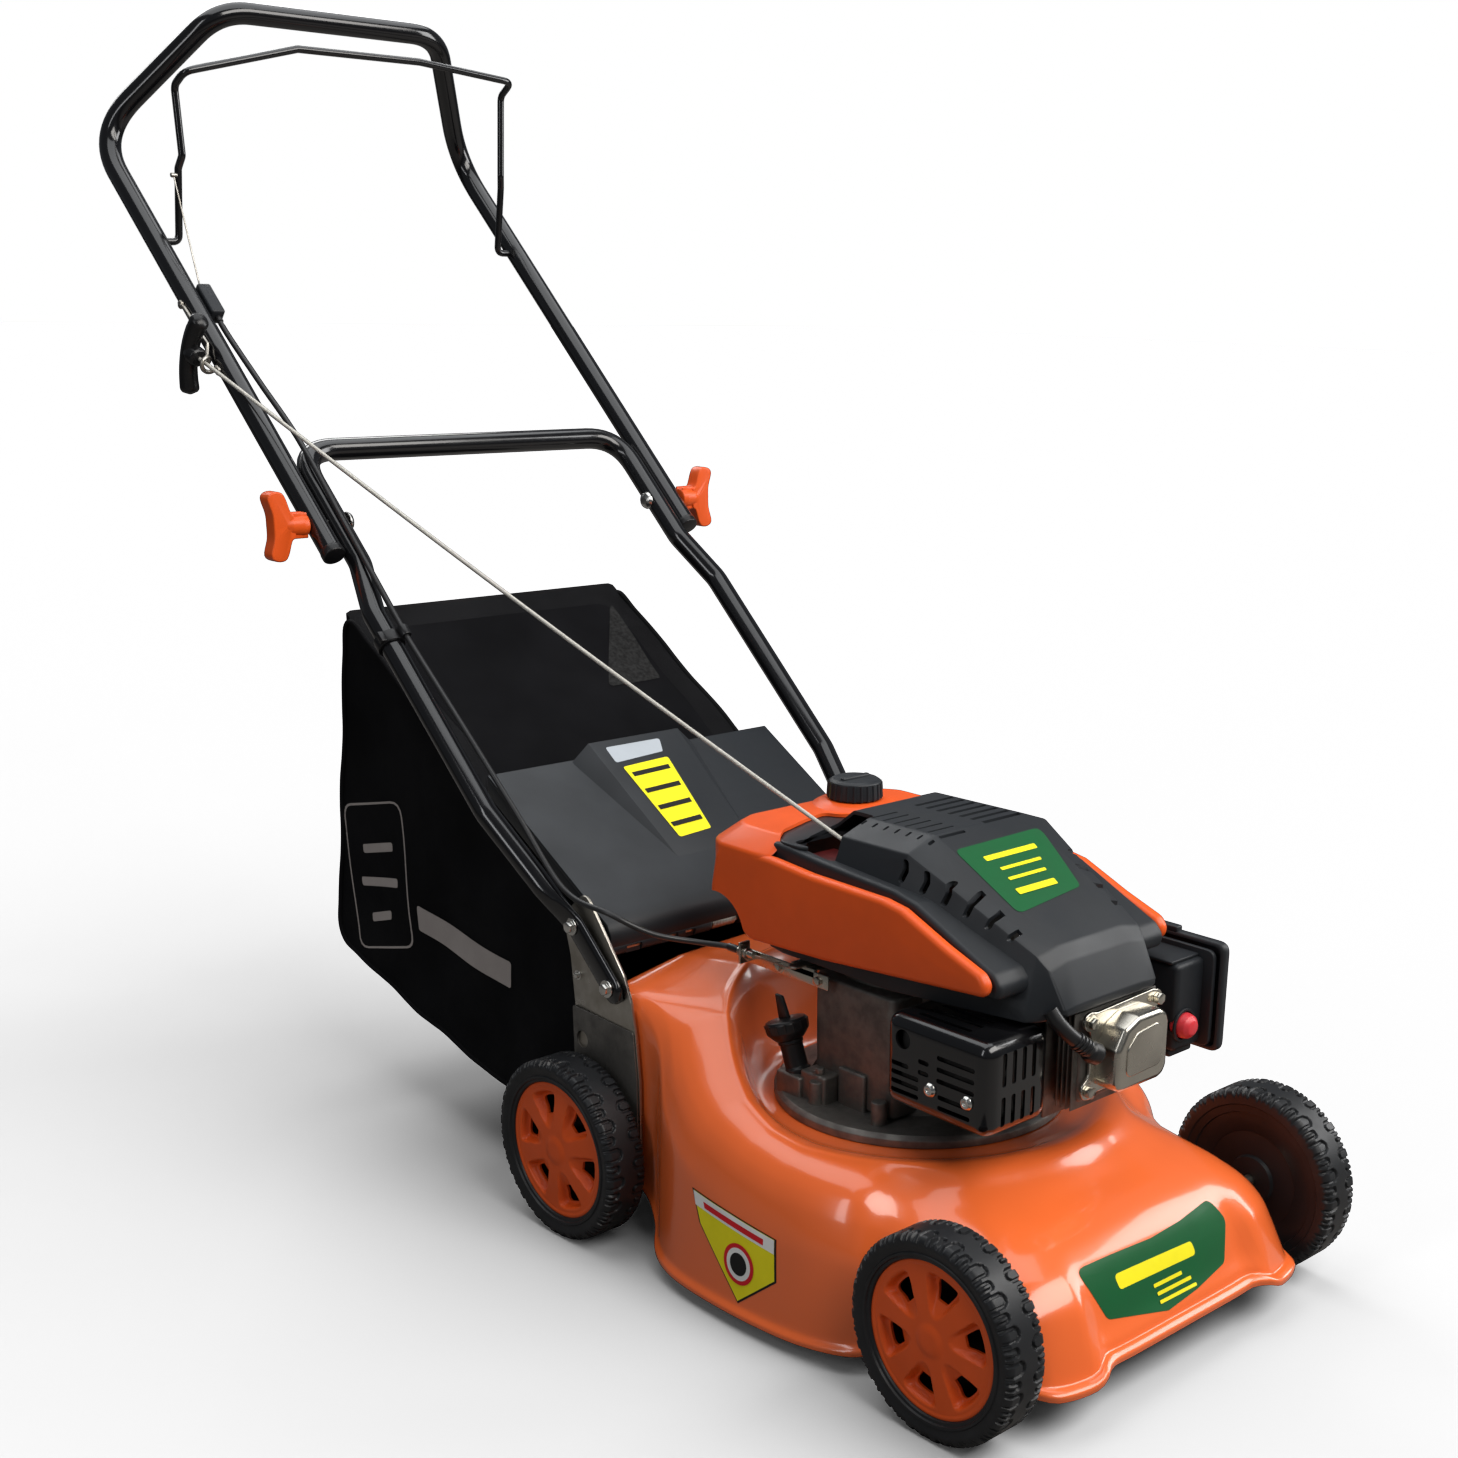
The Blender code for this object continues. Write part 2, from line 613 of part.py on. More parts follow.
def build_starter():
    """Grip across the rope, the fixed length of rope and the length that the grip pulls out."""
    along = Vector(rope_point(1)) - Vector(rope_point(0))
    across = along.cross(Vector((1, 0, 0))).normalized()
    spots = []
    for k in range(9):
        t = -1 + k / 4
        spots.append(tuple(Vector(rope_point(28 - 12 * t * t)) + across * 46 * t))
    grip = tube("starter_grip", spots, 8.0, PLASTIC, resolution=3)
    stem = rod("stem", rope_point(13.5), rope_point(27), 7.5, PLASTIC, end_radius=9.5)
    grip = fuse(grip, stem)
    cut(grip, rod("cut", rope_point(5), rope_point(24), 1.7, PLASTIC, sides=12))
    inside = rope_point(-(Vector(GUIDE) - Vector(ENTRY)).length - 30)
    rope = rod("starter_rope", rope_point(12), inside, 2.2, ROPE, sides=12)
    cut(rope, rod("cut", rope_point(20), rope_point(-660), 1.65, ROPE, sides=12))
    rod("rope_core", rope_point(23), rope_point(-640), 1.3, ROPE, sides=10)


# ---------------------------------------------------------------- rear flap, brackets, grass bag

def build_brackets():
    outline = [(251, 330), (286, 300), (276, 262), (271, 215), (274, 78), (225, 76), (176, 84),
               (176, 165), (180, 205), (186, 238), (196, 262)]
    rear_axle = WHEELBASE / 2
    for tag, side in (("right", -1), ("left", 1)):
        sheet = plate("bracket_" + tag, outline, "X", side * 182.3, side * 185.3, STEEL)
        drills = [rod("cut", (side * 178, rear_axle, WHEEL_R), (side * 190, rear_axle, WHEEL_R),
                      AXLE_R + 0.3, STEEL)]
        for along in (0, 70):
            drills.append(rod("cut", leg_point(side * 178, along), leg_point(side * 190, along),
                              3.4, STEEL))
        cut(sheet, *drills)


def build_flap():
    y, z = FLAP_Y, FLAP_Z
    rod("flap_rod", (-181.9, y, z), (181.9, y, z), 3.5, STEEL)
    panel_line = [(223, 280), (222.5, 292), (228, 302), (240, 309), (411, 409), (413, 405.5),
                  (241, 305), (231, 299.5), (226, 291), (227, 280)]
    panel = plate("rear_flap", panel_line, "X", -FLAP_X, FLAP_X, PLASTIC)
    barrel = rod("barrel", (-FLAP_X + 0.2, y, z), (FLAP_X - 0.2, y, z), 6.6, PLASTIC)
    skirt_line = [(226, 281), (240, 306.5), (411, 406.5), (413, 390), (262, 301), (240, 282)]
    skirts = [plate("skirt", skirt_line, "X", side * (FLAP_X - 3.1), side * (FLAP_X - 0.4), PLASTIC)
              for side in (-1, 1)]
    pod = hull("pod", [(-84, 408, 405), (76, 408, 405), (-66, 407, 420), (58, 407, 420),
                       (-50, 262, 319.5), (44, 262, 319.5), (-84, 404, 402.6), (76, 404, 402.6),
                       (-50, 262, 317.5), (44, 262, 317.5)], PLASTIC)
    panel = fuse(panel, barrel, pod, *skirts)
    bore = rod("cut", (-190, y, z), (190, y, z), 3.8, PLASTIC)
    gaps = boxes("cut", [((-57, -22), (218, 240), (262, 285.5)), ((22, 57), (218, 240), (262, 285.5))],
                 PLASTIC)
    cut(panel, bore, gaps)


BAG_MOUTH_Y = 262.0
BAG_SIDE = [(BAG_MOUTH_Y, 84), (BAG_MOUTH_Y, 283), (666, 534), (723, 170), (412, 84)]


def build_bag():
    solid = plate("catcher_bag", BAG_SIDE, "X", -BAG_X, BAG_X, FABRIC)
    bm = bmesh.new()
    bm.from_mesh(solid.data)
    mouth = point(0, BAG_MOUTH_Y, 0).y
    faces = [f for f in bm.faces if all(abs(v.co.y - mouth) < 1e-6 for v in f.verts)]
    bmesh.ops.delete(bm, geom=faces, context="FACES")
    bm.to_mesh(solid.data)
    bm.free()
    modify(solid, "SOLIDIFY", thickness=2.5 * MM, offset=-1.0, use_even_offset=True)
    apply(solid)
    x = 163.0
    ring = fillet([(-x, 268, 93), (-x, 268, 274), (x, 268, 274), (x, 268, 93)], 22, steps=2, closed=True)
    frame = tube("catcher_frame", ring, 4.0, STEEL, resolution=2, closed=True)
    hoop = fillet([(-x, 268, 240), (-x, 300, 284), (-x, 650, 503), (x, 650, 503), (x, 300, 284),
                   (x, 268, 240)], 26, steps=2)
    fuse(frame, tube("hoop", hoop, 4.0, STEEL, resolution=2))


# ---------------------------------------------------------------- engine

def build_engine_block():
    x, y = DECK_C
    base = turned("engine_base", [(74, 290), (78, 290), (80, 286), (80, DECK_TOP + 11),
                                  (FLANGE_R - 3, DECK_TOP + 11), (FLANGE_R, DECK_TOP + 8),
                                  (FLANGE_R, DECK_TOP + GAP), (13.3, DECK_TOP + GAP), (13.3, 240),
                                  (24, 240), (24, DECK_TOP + 15), (74, DECK_TOP + 15), (74, 290)],
                  "Z", (x, y, 0), CAST, steps=28)
    neck = box("neck", (-44, 60), (-87.7, -56), (190, 288), CAST)
    bosses = []
    for a in (168, 205, 250, 300, 20):
        cx = x + BOLT_CIRCLE * math.cos(math.radians(a))
        cy = y + BOLT_CIRCLE * math.sin(math.radians(a))
        bosses.append(rod("boss", (cx, cy, DECK_TOP + 8), (cx, cy, DECK_TOP + 27), 7, CAST, sides=8))
    foot = box("foot", (-112, -86), (40, 66), (DECK_TOP + 8, DECK_TOP + 24), CAST)
    fuse(base, neck, foot, *bosses)

    block = box("cylinder", (-30, 48), (-196, -88), (214, 292), CAST)
    fins = [box("fin", (-44, 62), (y0, y0 + 4), (203, 300), CAST) for y0 in range(-190, -95, 15)]
    head = box("head", (-34, 64), (-219, -195), (222, 297), CAST)
    fuse(block, head, *fins)

    dee = [(-17, 236), (-19, 242), (-19, 272), (-8, 290), (8, 297), (38, 297), (46, 292), (49, 284),
           (49, 244), (45, 237), (38, 234), (-10, 234)]
    cover = plate("valve_cover", dee, "Y", -247, -221, CHROME, bevel=4)
    flange = plate("flange", [(-34, 226), (-22, 224), (-16, 229), (48, 229), (56, 226), (64, 228),
                              (66, 238), (58, 250), (58, 285), (68, 292), (66, 301), (56, 304),
                              (-18, 301), (-28, 303), (-35, 300), (-36, 291), (-26, 284), (-26, 246),
                              (-36, 238)], "Y", -223.5, -219.4, CHROME)
    bolts = [rod("bolt", (bx, -221, bz), (bx, -230, bz), 5, CHROME, sides=6)
             for bx, bz in ((-28, 296), (60, 297), (-28, 232), (58, 233))]
    fuse(cover, flange, *bolts)


def build_exhaust():
    guard = box("muffler_guard", (-132, -54), (-205, -86), (211, 294), BLACK, bevel=7)
    hollow = box("cut", (-129.5, -40), (-202.5, -88.5), (213.5, 291.5), BLACK)
    spans = []
    for row in range(4):
        z0 = 224 + 16 * row
        for y0, y1 in ((-186, -166), (-158, -132), (-124, -100)):
            spans.append(((-140, -125), (y0, y1), (z0, z0 + 5)))
    for x0 in (-116, -101, -86, -71):
        for z0, z1 in ((220, 247), (256, 284)):
            spans.append(((x0, x0 + 5), (-212, -198), (z0, z1)))
    cut(guard, hollow, boxes("cut", spans, BLACK))


CAP_C = (30.0, 118.0)          # fuel filler
COVER_SECTIONS = [             # y, low x and z, shoulder x and z, crown x and z
    (-222, 56, 306, 60, 311, 40, 313), (-205, 72, 300, 62, 342, 40, 346),
    (-195, 80, 299, 66, 352, 40, 357), (-67, 104, 298, 88, 416, 56, 427),
    (40, 105, 298, 88, 415, 56, 425.5), (70, 105, 298, 84, 396, 50, 402),
    (92, 100, 298, 92, 372, 50, 376),
]


def cover_points(inset):
    """Corners of the engine's top cover, or of the room inside it."""
    first, last = COVER_SECTIONS[0][0] + inset, COVER_SECTIONS[-1][0] - inset
    pts = []
    for y, low_x, low_z, side_x, side_z, crown_x, crown_z in COVER_SECTIONS:
        y_in = min(max(y, first), last)
        for s in (-1, 1):
            pts.append((s * (low_x - inset), y_in, low_z - (4 if inset else 0)))
            pts.append((s * (low_x - inset - 1), y_in, max(low_z, side_z - 45) - inset * 0.5))
            pts.append((s * (side_x - inset), y_in, side_z - inset))
            pts.append((s * crown_x, y_in, crown_z - inset))
    return pts


def build_covers():
    cover = hull("top_cover", cover_points(0), PLASTIC)
    cover = cut(cover, hull("cut", cover_points(3.2), PLASTIC))
    slots = []
    for k in range(8):
        y0 = -60 + 13 * k
        slots.append(((8, 44), (y0, y0 + 4), (415, 435)))
        slots.append(((-44, -8), (y0, y0 + 4), (415, 435)))
    doorway = box("cut", (-110, -48), (8, 70), (380, 440), PLASTIC)
    cut(cover, boxes("cut", slots, PLASTIC), doorway)

    plan = [(-121, 93.5), (-121, 138), (-110, 155), (-84, 166), (0, 168)]
    plan += [(-u, v) for u, v in reversed(plan[:-1])]
    shroud = plate("side_shroud", plan, "Z", 331, 405, ORANGE, bevel=7)
    arm_line = [(110, 345), (86, 385), (-90, 383.5), (-141, 362), (-181, 347), (-188, 336), (-185, 327),
                (-171, 326), (4, 311), (95, 307), (110, 312), (118, 334)]
    arms = [plate("arm", arm_line, "X", side * 108.5, side * 119.5, ORANGE) for side in (-1, 1)]
    shroud = fuse(shroud, *arms)
    inside = [(-118, 80), (-118, 136), (-108, 152), (-83, 163), (0, 165)]
    inside += [(-u, v) for u, v in reversed(inside[:-1])]
    shroud = cut(shroud, plate("cut", inside, "Z", 300, 402, ORANGE))
    cut(shroud, rod("cut", (*CAP_C, 396), (*CAP_C, 412), 19.6, ORANGE, sides=24))

    tank = box("fuel_tank", (-70, 104), (98, 151), (336, 397), PLASTIC, bevel=8)
    neck = rod("neck", (*CAP_C, 390), (*CAP_C, 409), 18.5, PLASTIC, sides=24)
    tank = fuse(tank, neck)
    cut(tank, rod("cut", (*CAP_C, 345), (*CAP_C, 420), 14.5, PLASTIC, sides=24))
    turned("fuel_cap", [(0, 429), (23, 429), (26, 425), (26, 410.5), (13.5, 410.5), (13.5, 402),
                        (0, 402)],
           "Z", (*CAP_C, 0), PLASTIC)


def build_intake():
    shell = box("air_filter_box", (106, 147.2), (-211, -112), (228, 309), PLASTIC, bevel=3)
    room = box("cut", (108.5, 155), (-208, -115), (231, 306), PLASTIC)
    bulb_hole = rod("cut", (118, -214, 252), (118, -200, 252), 12.4, PLASTIC, sides=20)
    duct_hole = rod("cut", (100, -155, 258), (112, -155, 258), 8, PLASTIC)
    cut(shell, room, bulb_hole, duct_hole)
    lid = box("air_filter_lid", (147.5, 157), (-229, -98), (222, 324), PLASTIC, bevel=3)
    cut(lid, box("cut", (140, 154), (-225, -102), (226, 320), PLASTIC))
    box("filter_foam", (115, 146.5), (-196, -120), (236, 302), FOAM)
    box("carburettor", (69, 105.6), (-176, -134), (236, 280), CAST)
    bulb = [(0, -205), (12, -205), (12, -214), (10.5, -219), (7, -222.5), (0, -224)]
    turned("primer_bulb", bulb, "Y", (118, 0, 252), RED, steps=14)


OIL_LOW = (-99.0, 53.0, DECK_TOP + 24.4)
OIL_DIR = Vector((-0.05, 0.30, 0.95)).normalized()


def oil_point(distance):
    return tuple(Vector(OIL_LOW) + OIL_DIR * distance)


def build_oil_filler():
    neck = rod("oil_filler", oil_point(3.5), oil_point(34), 10.5, PLASTIC, sides=16)
    cut(neck, rod("cut", oil_point(-2), oil_point(40), 6.5, PLASTIC, sides=16))
    cap = rod("dipstick", oil_point(34.3), oil_point(52), 14, PLASTIC, sides=20, end_radius=20)
    stem = rod("stem", oil_point(8), oil_point(40), 5.8, PLASTIC, sides=12)
    a, b = Vector(oil_point(48)), Vector(oil_point(76))
    tab = hull("tab", [(p.x + dx, p.y + dy, p.z) for p, w in ((a, 9), (b, 5)) for dx in (-2, 2)
                       for dy in (-w, w)], PLASTIC)
    fuse(cap, stem, tab)


LEVER_PIN = (-88.0, 45.0)      # pivot of the brake lever


def build_ignition_and_brake():
    lead = smooth_path([(-40, -229, 262), (-45, -224, 272), (-50, -217, 284), (-54, -212, 297),
                        (-57, -207, 309)], 9)
    boot = tube("spark_boot", lead, 3.6, RUBBER, resolution=2)
    cap = rod("cap", (-40.5, -234, 256), (-46, -226, 271), 7, RUBBER, sides=12)
    fuse(boot, cap)
    strip = box("cable_bracket", (-103, -101), (12, 126), (277, 290), STEEL)
    ear = box("ear", (-114, -102), (116, 119), (278, 298), STEEL)
    tongue = box("tongue", (-102, -76), (30, 60), (290.3, 292.3), STEEL)
    rise = box("rise", (-103, -101), (30, 60), (284, 292.3), STEEL)
    strip = fuse(strip, rise, tongue, ear)
    cut(strip, rod("cut", (-108, 100, 288), (-108, 130, 288), 3.1, STEEL, sides=12),
        rod("cut", (*LEVER_PIN, 286), (*LEVER_PIN, 296), 2.8, STEEL, sides=12))
    lever = [(-94, 39), (-84, 39), (-82, 45), (-84, 51), (-94, 51), (-116, 50), (-118, 45), (-116, 40)]
    lever = plate("brake_lever", lever, "Z", 292.7, 294.7, STEEL)
    fuse(lever, rod("pin", (*LEVER_PIN, 280), (*LEVER_PIN, 293.5), 2.4, STEEL, sides=12))


def build_rotor():
    x, y = DECK_C
    shaft = rod("crankshaft", (x, y, BLADE_Z + 3.6 + GAP + 1), (x, y, 338), 12.5, STEEL, sides=24)
    cut(shaft, rod("cut", (x, y, BLADE_Z - 5), (x, y, 94), 4.8, STEEL, sides=16))
    turned("flywheel", [(12.9, 330), (60, 330), (86, 326), (86, 302), (80, 302), (80, 318), (24, 318),
                        (24, 300), (12.9, 300), (12.9, 330)], "Z", (x, y, 0), CAST, steps=26)
    turned("recoil_reel", [(6, 380), (34, 380), (31, 372), (34, 364), (6, 364), (6, 380)],
           "Z", (x, y, 0), PLASTIC)


# ---------------------------------------------------------------- pivots

def set_origin(spot, *names):
    """Put the origin of each named piece on its joint's axis; the piece itself stays where it is."""
    for name in names:
        obj = bpy.data.objects[name]
        place = point(*spot)
        obj.data.transform(Matrix.Translation(-place))
        obj.location = place


def set_origins():
    for tag, side, y in CORNERS:
        set_origin((side * WHEEL_IN, y, WHEEL_R), "wheel_" + tag, "wheel_cover_" + tag)
    set_origin((*DECK_C, BLADE_Z), "crankshaft", "flywheel", "recoil_reel", "blade", "blade_adapter",
               "blade_bolt")
    set_origin(leg_point(0, KNOB_A), "upper_handle", "cable_stop", "rope_guide", "brake_wire",
               "knob_right", "knob_left")
    set_origin((0, BAIL_Y, BAIL_Z), "bail_lever")
    set_origin((*LEVER_PIN, 292.7), "brake_lever")
    set_origin(GUIDE, "starter_grip", "rope_core")
    set_origin((0, FLAP_Y, FLAP_Z), "rear_flap")
    set_origin((0, BAG_MOUTH_Y, FLAP_Z), "catcher_frame", "catcher_bag")
    set_origin((*CAP_C, 410.5), "fuel_cap")
    set_origin(OIL_LOW, "dipstick")
    set_origin((118, -205, 252), "primer_bulb")
    set_origin((150, -164, 222), "air_filter_lid")


build_deck()
build_running_gear()
build_blade()
build_lower_handle()
build_upper_handle()
build_bail()
build_controls()
build_brackets()
build_flap()
build_bag()
build_engine_block()
build_exhaust()
build_covers()
build_intake()
build_oil_filler()
build_ignition_and_brake()
build_rotor()

set_origins()
for part in PARTS.objects:
    part.data.shade_smooth()
    part.data.set_sharp_from_angle(angle=math.radians(35))
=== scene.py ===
"""Looks of the push lawn mower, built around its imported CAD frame.

Forward is -Y, up is +Z, and the operator's right hand is towards -X. Dimensions are in millimetres
from the middle of the wheelbase on the ground, as in the CAD, and WORLD turns them into metres.
"""
import json
import math

import bmesh
import bpy
import numpy as np
from mathutils import Matrix, Vector
from mathutils.bvhtree import BVHTree


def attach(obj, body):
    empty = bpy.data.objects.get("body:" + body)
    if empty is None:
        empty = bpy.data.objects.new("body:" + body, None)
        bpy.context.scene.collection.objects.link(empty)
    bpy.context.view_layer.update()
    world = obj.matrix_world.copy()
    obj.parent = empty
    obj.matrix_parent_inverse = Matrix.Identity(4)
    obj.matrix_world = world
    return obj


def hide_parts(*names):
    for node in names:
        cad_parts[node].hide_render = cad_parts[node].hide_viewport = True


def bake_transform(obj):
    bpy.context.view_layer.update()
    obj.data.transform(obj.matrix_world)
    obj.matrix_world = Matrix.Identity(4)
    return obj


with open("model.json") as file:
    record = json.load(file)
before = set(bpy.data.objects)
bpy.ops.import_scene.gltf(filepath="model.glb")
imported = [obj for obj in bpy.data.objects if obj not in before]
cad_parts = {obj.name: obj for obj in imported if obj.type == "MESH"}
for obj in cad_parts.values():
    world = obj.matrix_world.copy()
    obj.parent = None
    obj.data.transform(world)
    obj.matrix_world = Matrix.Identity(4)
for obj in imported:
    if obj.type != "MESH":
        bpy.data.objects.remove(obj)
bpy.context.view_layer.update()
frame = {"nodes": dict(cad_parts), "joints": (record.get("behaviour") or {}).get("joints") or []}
NODES = frame["nodes"]
JOINTS = {j["name"]: j for j in frame["joints"]}
MM = 0.001

FRONT_Y = JOINTS["wheel_front_right_spin"]["pos_m"][1]
REAR_Y = JOINTS["wheel_rear_right_spin"]["pos_m"][1]
Y_SHIFT = (FRONT_Y + REAR_Y) / 2
WORLD = Matrix.Translation((0, Y_SHIFT, 0)) @ Matrix.Scale(MM, 4)
LOCAL = WORLD.inverted()


def point(x, y, z):
    return WORLD @ Vector((x, y, z))


# ---------------------------------------------------------------- materials

class Surface:
    """A procedural material: fine grain, slow change of tone and roughness, made in object space."""

    def __init__(self, name, colour, rough, metal=0.0, coat=0.0, shine=0.5):
        self.mat = bpy.data.materials.new(name)
        self.mat.use_nodes = True
        self.tree = self.mat.node_tree
        self.shader = self.tree.nodes["Principled BSDF"]
        self.shader.inputs["Metallic"].default_value = metal
        self.shader.inputs["Coat Weight"].default_value = coat
        self.shader.inputs["Coat Roughness"].default_value = 0.08
        self.shader.inputs["Specular IOR Level"].default_value = shine
        self.mat.diffuse_color = (*colour, 1)
        self.colour, self.rough = colour, rough
        self.place = self.node("ShaderNodeTexCoord").outputs["Object"]
        self.normal = None

    def node(self, kind, **values):
        made = self.tree.nodes.new(kind)
        for key, value in values.items():
            if key in made.inputs:
                made.inputs[key].default_value = value
            else:
                setattr(made, key, value)
        return made

    def link(self, a, b):
        self.tree.links.new(a, b)

    def noise(self, scale, detail):
        made = self.node("ShaderNodeTexNoise", Scale=scale, Detail=detail, Roughness=0.55)
        self.link(self.place, made.inputs["Vector"])
        return made.outputs["Fac"]

    def ramp(self, value, low, high, out_low=0.0, out_high=1.0):
        made = self.node("ShaderNodeMapRange")
        for key, number in (("From Min", low), ("From Max", high), ("To Min", out_low),
                            ("To Max", out_high)):
            made.inputs[key].default_value = number
        self.link(value, made.inputs["Value"])
        return made.outputs["Result"]

    def mix(self, factor, a, b):
        made = self.node("ShaderNodeMix", data_type="RGBA")
        self.link(factor, made.inputs[0])
        for socket, value in ((made.inputs[6], a), (made.inputs[7], b)):
            if isinstance(value, tuple):
                socket.default_value = (*value, 1)
            else:
                self.link(value, socket)
        return made.outputs[2]

    def bump(self, height, strength, distance):
        made = self.node("ShaderNodeBump", Strength=strength, Distance=distance)
        self.link(height, made.inputs["Height"])
        if self.normal is not None:
            self.link(self.normal, made.inputs["Normal"])
        self.normal = made.outputs["Normal"]
        return self

    def grain(self, scale, strength, distance, detail=2.0):
        return self.bump(self.noise(scale, detail), strength, distance)

    def shade(self, colour):
        self.link(colour, self.shader.inputs["Base Color"])

    def tone(self, scale, depth, spread, other=None):
        """Slow change of colour by depth, and of roughness by spread."""
        slow = self.noise(scale, 3.0)
        even = self.ramp(slow, 0.35, 0.65)
        other = other or tuple(c * (1 - depth) for c in self.colour)
        self.paint = self.mix(even, self.colour, other)
        self.shade(self.paint)
        self.link(self.ramp(slow, 0.3, 0.7, self.rough - spread, self.rough + spread),
                  self.shader.inputs["Roughness"])
        return self

    def woven(self, operation, scale, turn=0.0):
        """Two crossed waves in UV space, with scale waves per UV unit, combined by a maths operation."""
        spin = self.node("ShaderNodeMapping", Rotation=(0, 0, turn))
        self.link(self.node("ShaderNodeTexCoord").outputs["UV"], spin.inputs["Vector"])
        both = self.node("ShaderNodeMath", operation=operation)
        for socket, direction in zip(both.inputs, "XY"):
            wave = self.node("ShaderNodeTexWave", Scale=scale, Distortion=0.0, bands_direction=direction)
            self.link(spin.outputs["Vector"], wave.inputs["Vector"])
            self.link(wave.outputs["Fac"], socket)
        return both.outputs[0]

    def done(self):
        if self.normal is not None:
            self.link(self.normal, self.shader.inputs["Normal"])
        return self.mat


FINISHES = {       # name, colour, roughness, metal, coat, shine, then its tone() and its grain()
    "enamel": ("orange_enamel", (0.90, 0.158, 0.034), 0.24, 0, 0.7, 0.5, (6, 0.06, 0.03),
               (420, 0.04, 0.0004)),
    "orange": ("orange_plastic", (0.80, 0.100, 0.012), 0.36, 0, 0, 0.35, (20, 0.08, 0.05),
               (900, 0.05, 0.0002)),
    "gloss": ("black_enamel", (0.005, 0.005, 0.006), 0.16, 0, 0.5, 0.5, (12, 0.2, 0.04),
              (300, 0.03, 0.0003)),
    "plastic": ("black_plastic", (0.016, 0.0185, 0.022), 0.46, 0, 0, 0.35, (18, 0.2, 0.06),
                (1500, 0.22, 0.0002, 1)),
    "smooth": ("smooth_black_plastic", (0.010, 0.010, 0.011), 0.28, 0, 0, 0.4, (16, 0.2, 0.05),
               (700, 0.06, 0.0002)),
    "tyre": ("wheel_plastic", (0.014, 0.015, 0.017), 0.42, 0, 0, 0.35, (40, 0.25, 0.08), (900, 0.2, 0.0003)),
    "zinc": ("zinc", (0.50, 0.48, 0.44), 0.34, 1, 0, 0.5, (45, 0.25, 0.10, (0.38, 0.35, 0.30)),
             (700, 0.08, 0.0002)),
    "bolt": ("bright_steel", (0.74, 0.73, 0.70), 0.2, 1, 0, 0.5, (80, 0.2, 0.06), (900, 0.06, 0.0001)),
    "plated": ("plated_cover", (0.60, 0.57, 0.50), 0.24, 1, 0, 0.5, (25, 0.15, 0.07), (250, 0.05, 0.0004)),
    "cast": ("sand_cast_alloy", (0.20, 0.19, 0.175), 0.5, 0.85, 0, 0.5, (60, 0.35, 0.1),
             (1100, 0.5, 0.0006, 3)),
    "iron": ("cast_iron", (0.09, 0.088, 0.085), 0.55, 0.8, 0, 0.5, (70, 0.3, 0.1), (900, 0.5, 0.0006, 3)),
    "blade": ("coated_steel", (0.03, 0.03, 0.032), 0.4, 0.3, 0, 0.5, (30, 0.4, 0.1), (500, 0.15, 0.0003)),
    "rubber": ("black_rubber", (0.008, 0.008, 0.009), 0.36, 0, 0, 0.5, (50, 0.2, 0.06), (600, 0.1, 0.0002)),
    "red": ("red_rubber", (0.74, 0.045, 0.06), 0.34, 0, 0, 0.5, (60, 0.15, 0.05), (600, 0.05, 0.0002)),
    # shaded_red: red darkened as in shade, painted shade
    "painted_shade_red": ("shaded_red", (0.16, 0.008, 0.008), 0.6, 0, 0, 0.5, (60, 0.5, 0.05), None),
    "foam": ("open_foam", (0.05, 0.05, 0.055), 0.95, 0, 0, 0.5, (200, 0.6, 0.02), (1400, 0.9, 0.001, 3)),
    "cable": ("cable_jacket", (0.018, 0.018, 0.019), 0.34, 0, 0, 0.5, (30, 0.2, 0.05), (500, 0.05, 0.0002)),
    # lit_netting: a lighter netting colour that stands for light, painted light
    "painted_light_net": ("lit_netting", (0.026, 0.026, 0.026), 0.8, 0, 0, 0.05, (240, 0.5, 0.06, (0.012, 0.012, 0.012)),
             (900, 0.4, 0.0006)),
}
INKS = {"green": (0.006, 0.095, 0.028), "yellow": (0.90, 0.80, 0.015), "white": (0.86, 0.86, 0.84),
        "ink": (0.012, 0.012, 0.012), "warning_red": (0.70, 0.015, 0.025), "silver": (0.42, 0.46, 0.50),
        "grey": (0.40, 0.36, 0.34)}


def make_materials():
    made = {}
    for key, (name, colour, rough, metal, coat, shine, tone, grain) in FINISHES.items():
        finish = Surface(name, colour, rough, metal, coat, shine).tone(*tone)
        if key == "red":
            finish.shader.inputs["Subsurface Weight"].default_value = 0.1
        made[key] = (finish.grain(*grain) if grain else finish).done()
    for name, colour in INKS.items():
        label = Surface("label_" + name, colour, 0.5, shine=0.2)
        made[name] = label.tone(30, 0.08, 0.05).grain(500, 0.04, 0.0002).done()
    rope = Surface("braided_cord", (0.93, 0.91, 0.84), 0.75).tone(400, 0.25, 0.05)
    strands = rope.woven("MULTIPLY", 3.0, math.radians(38))
    # the grooves between the braid's strands are coloured darker: painted shade
    rope.shade(rope.mix(rope.ramp(strands, 0.0, 0.35), (0.76, 0.73, 0.65), rope.paint))
    made["rope"] = rope.bump(strands, 0.9, 0.0006).done()
    cloth = Surface("woven_polyester", (0.007, 0.007, 0.008), 0.8, shine=0.08).tone(9, 0.4, 0.08)
    made["cloth"] = cloth.bump(cloth.woven("MAXIMUM", 0.45), 0.5, 0.0005).grain(40, 0.25, 0.004, 3).done()
    net = Surface("netting", (0.005, 0.005, 0.006), 0.8, shine=0.05).tone(12, 0.3, 0.06)
    holes = net.woven("MINIMUM", 0.16)
    net.shade(net.mix(net.ramp(holes, 0.25, 0.5), net.paint, (0.002, 0.002, 0.002)))
    made["net"] = net.bump(holes, 0.8, 0.0008).done()
    return made


# ---------------------------------------------------------------- helpers

def link(name, mesh, mat):
    obj = bpy.data.objects.new(name, mesh)
    bpy.context.scene.collection.objects.link(obj)
    mesh.materials.clear()
    mesh.materials.append(MAT[mat])
    return obj


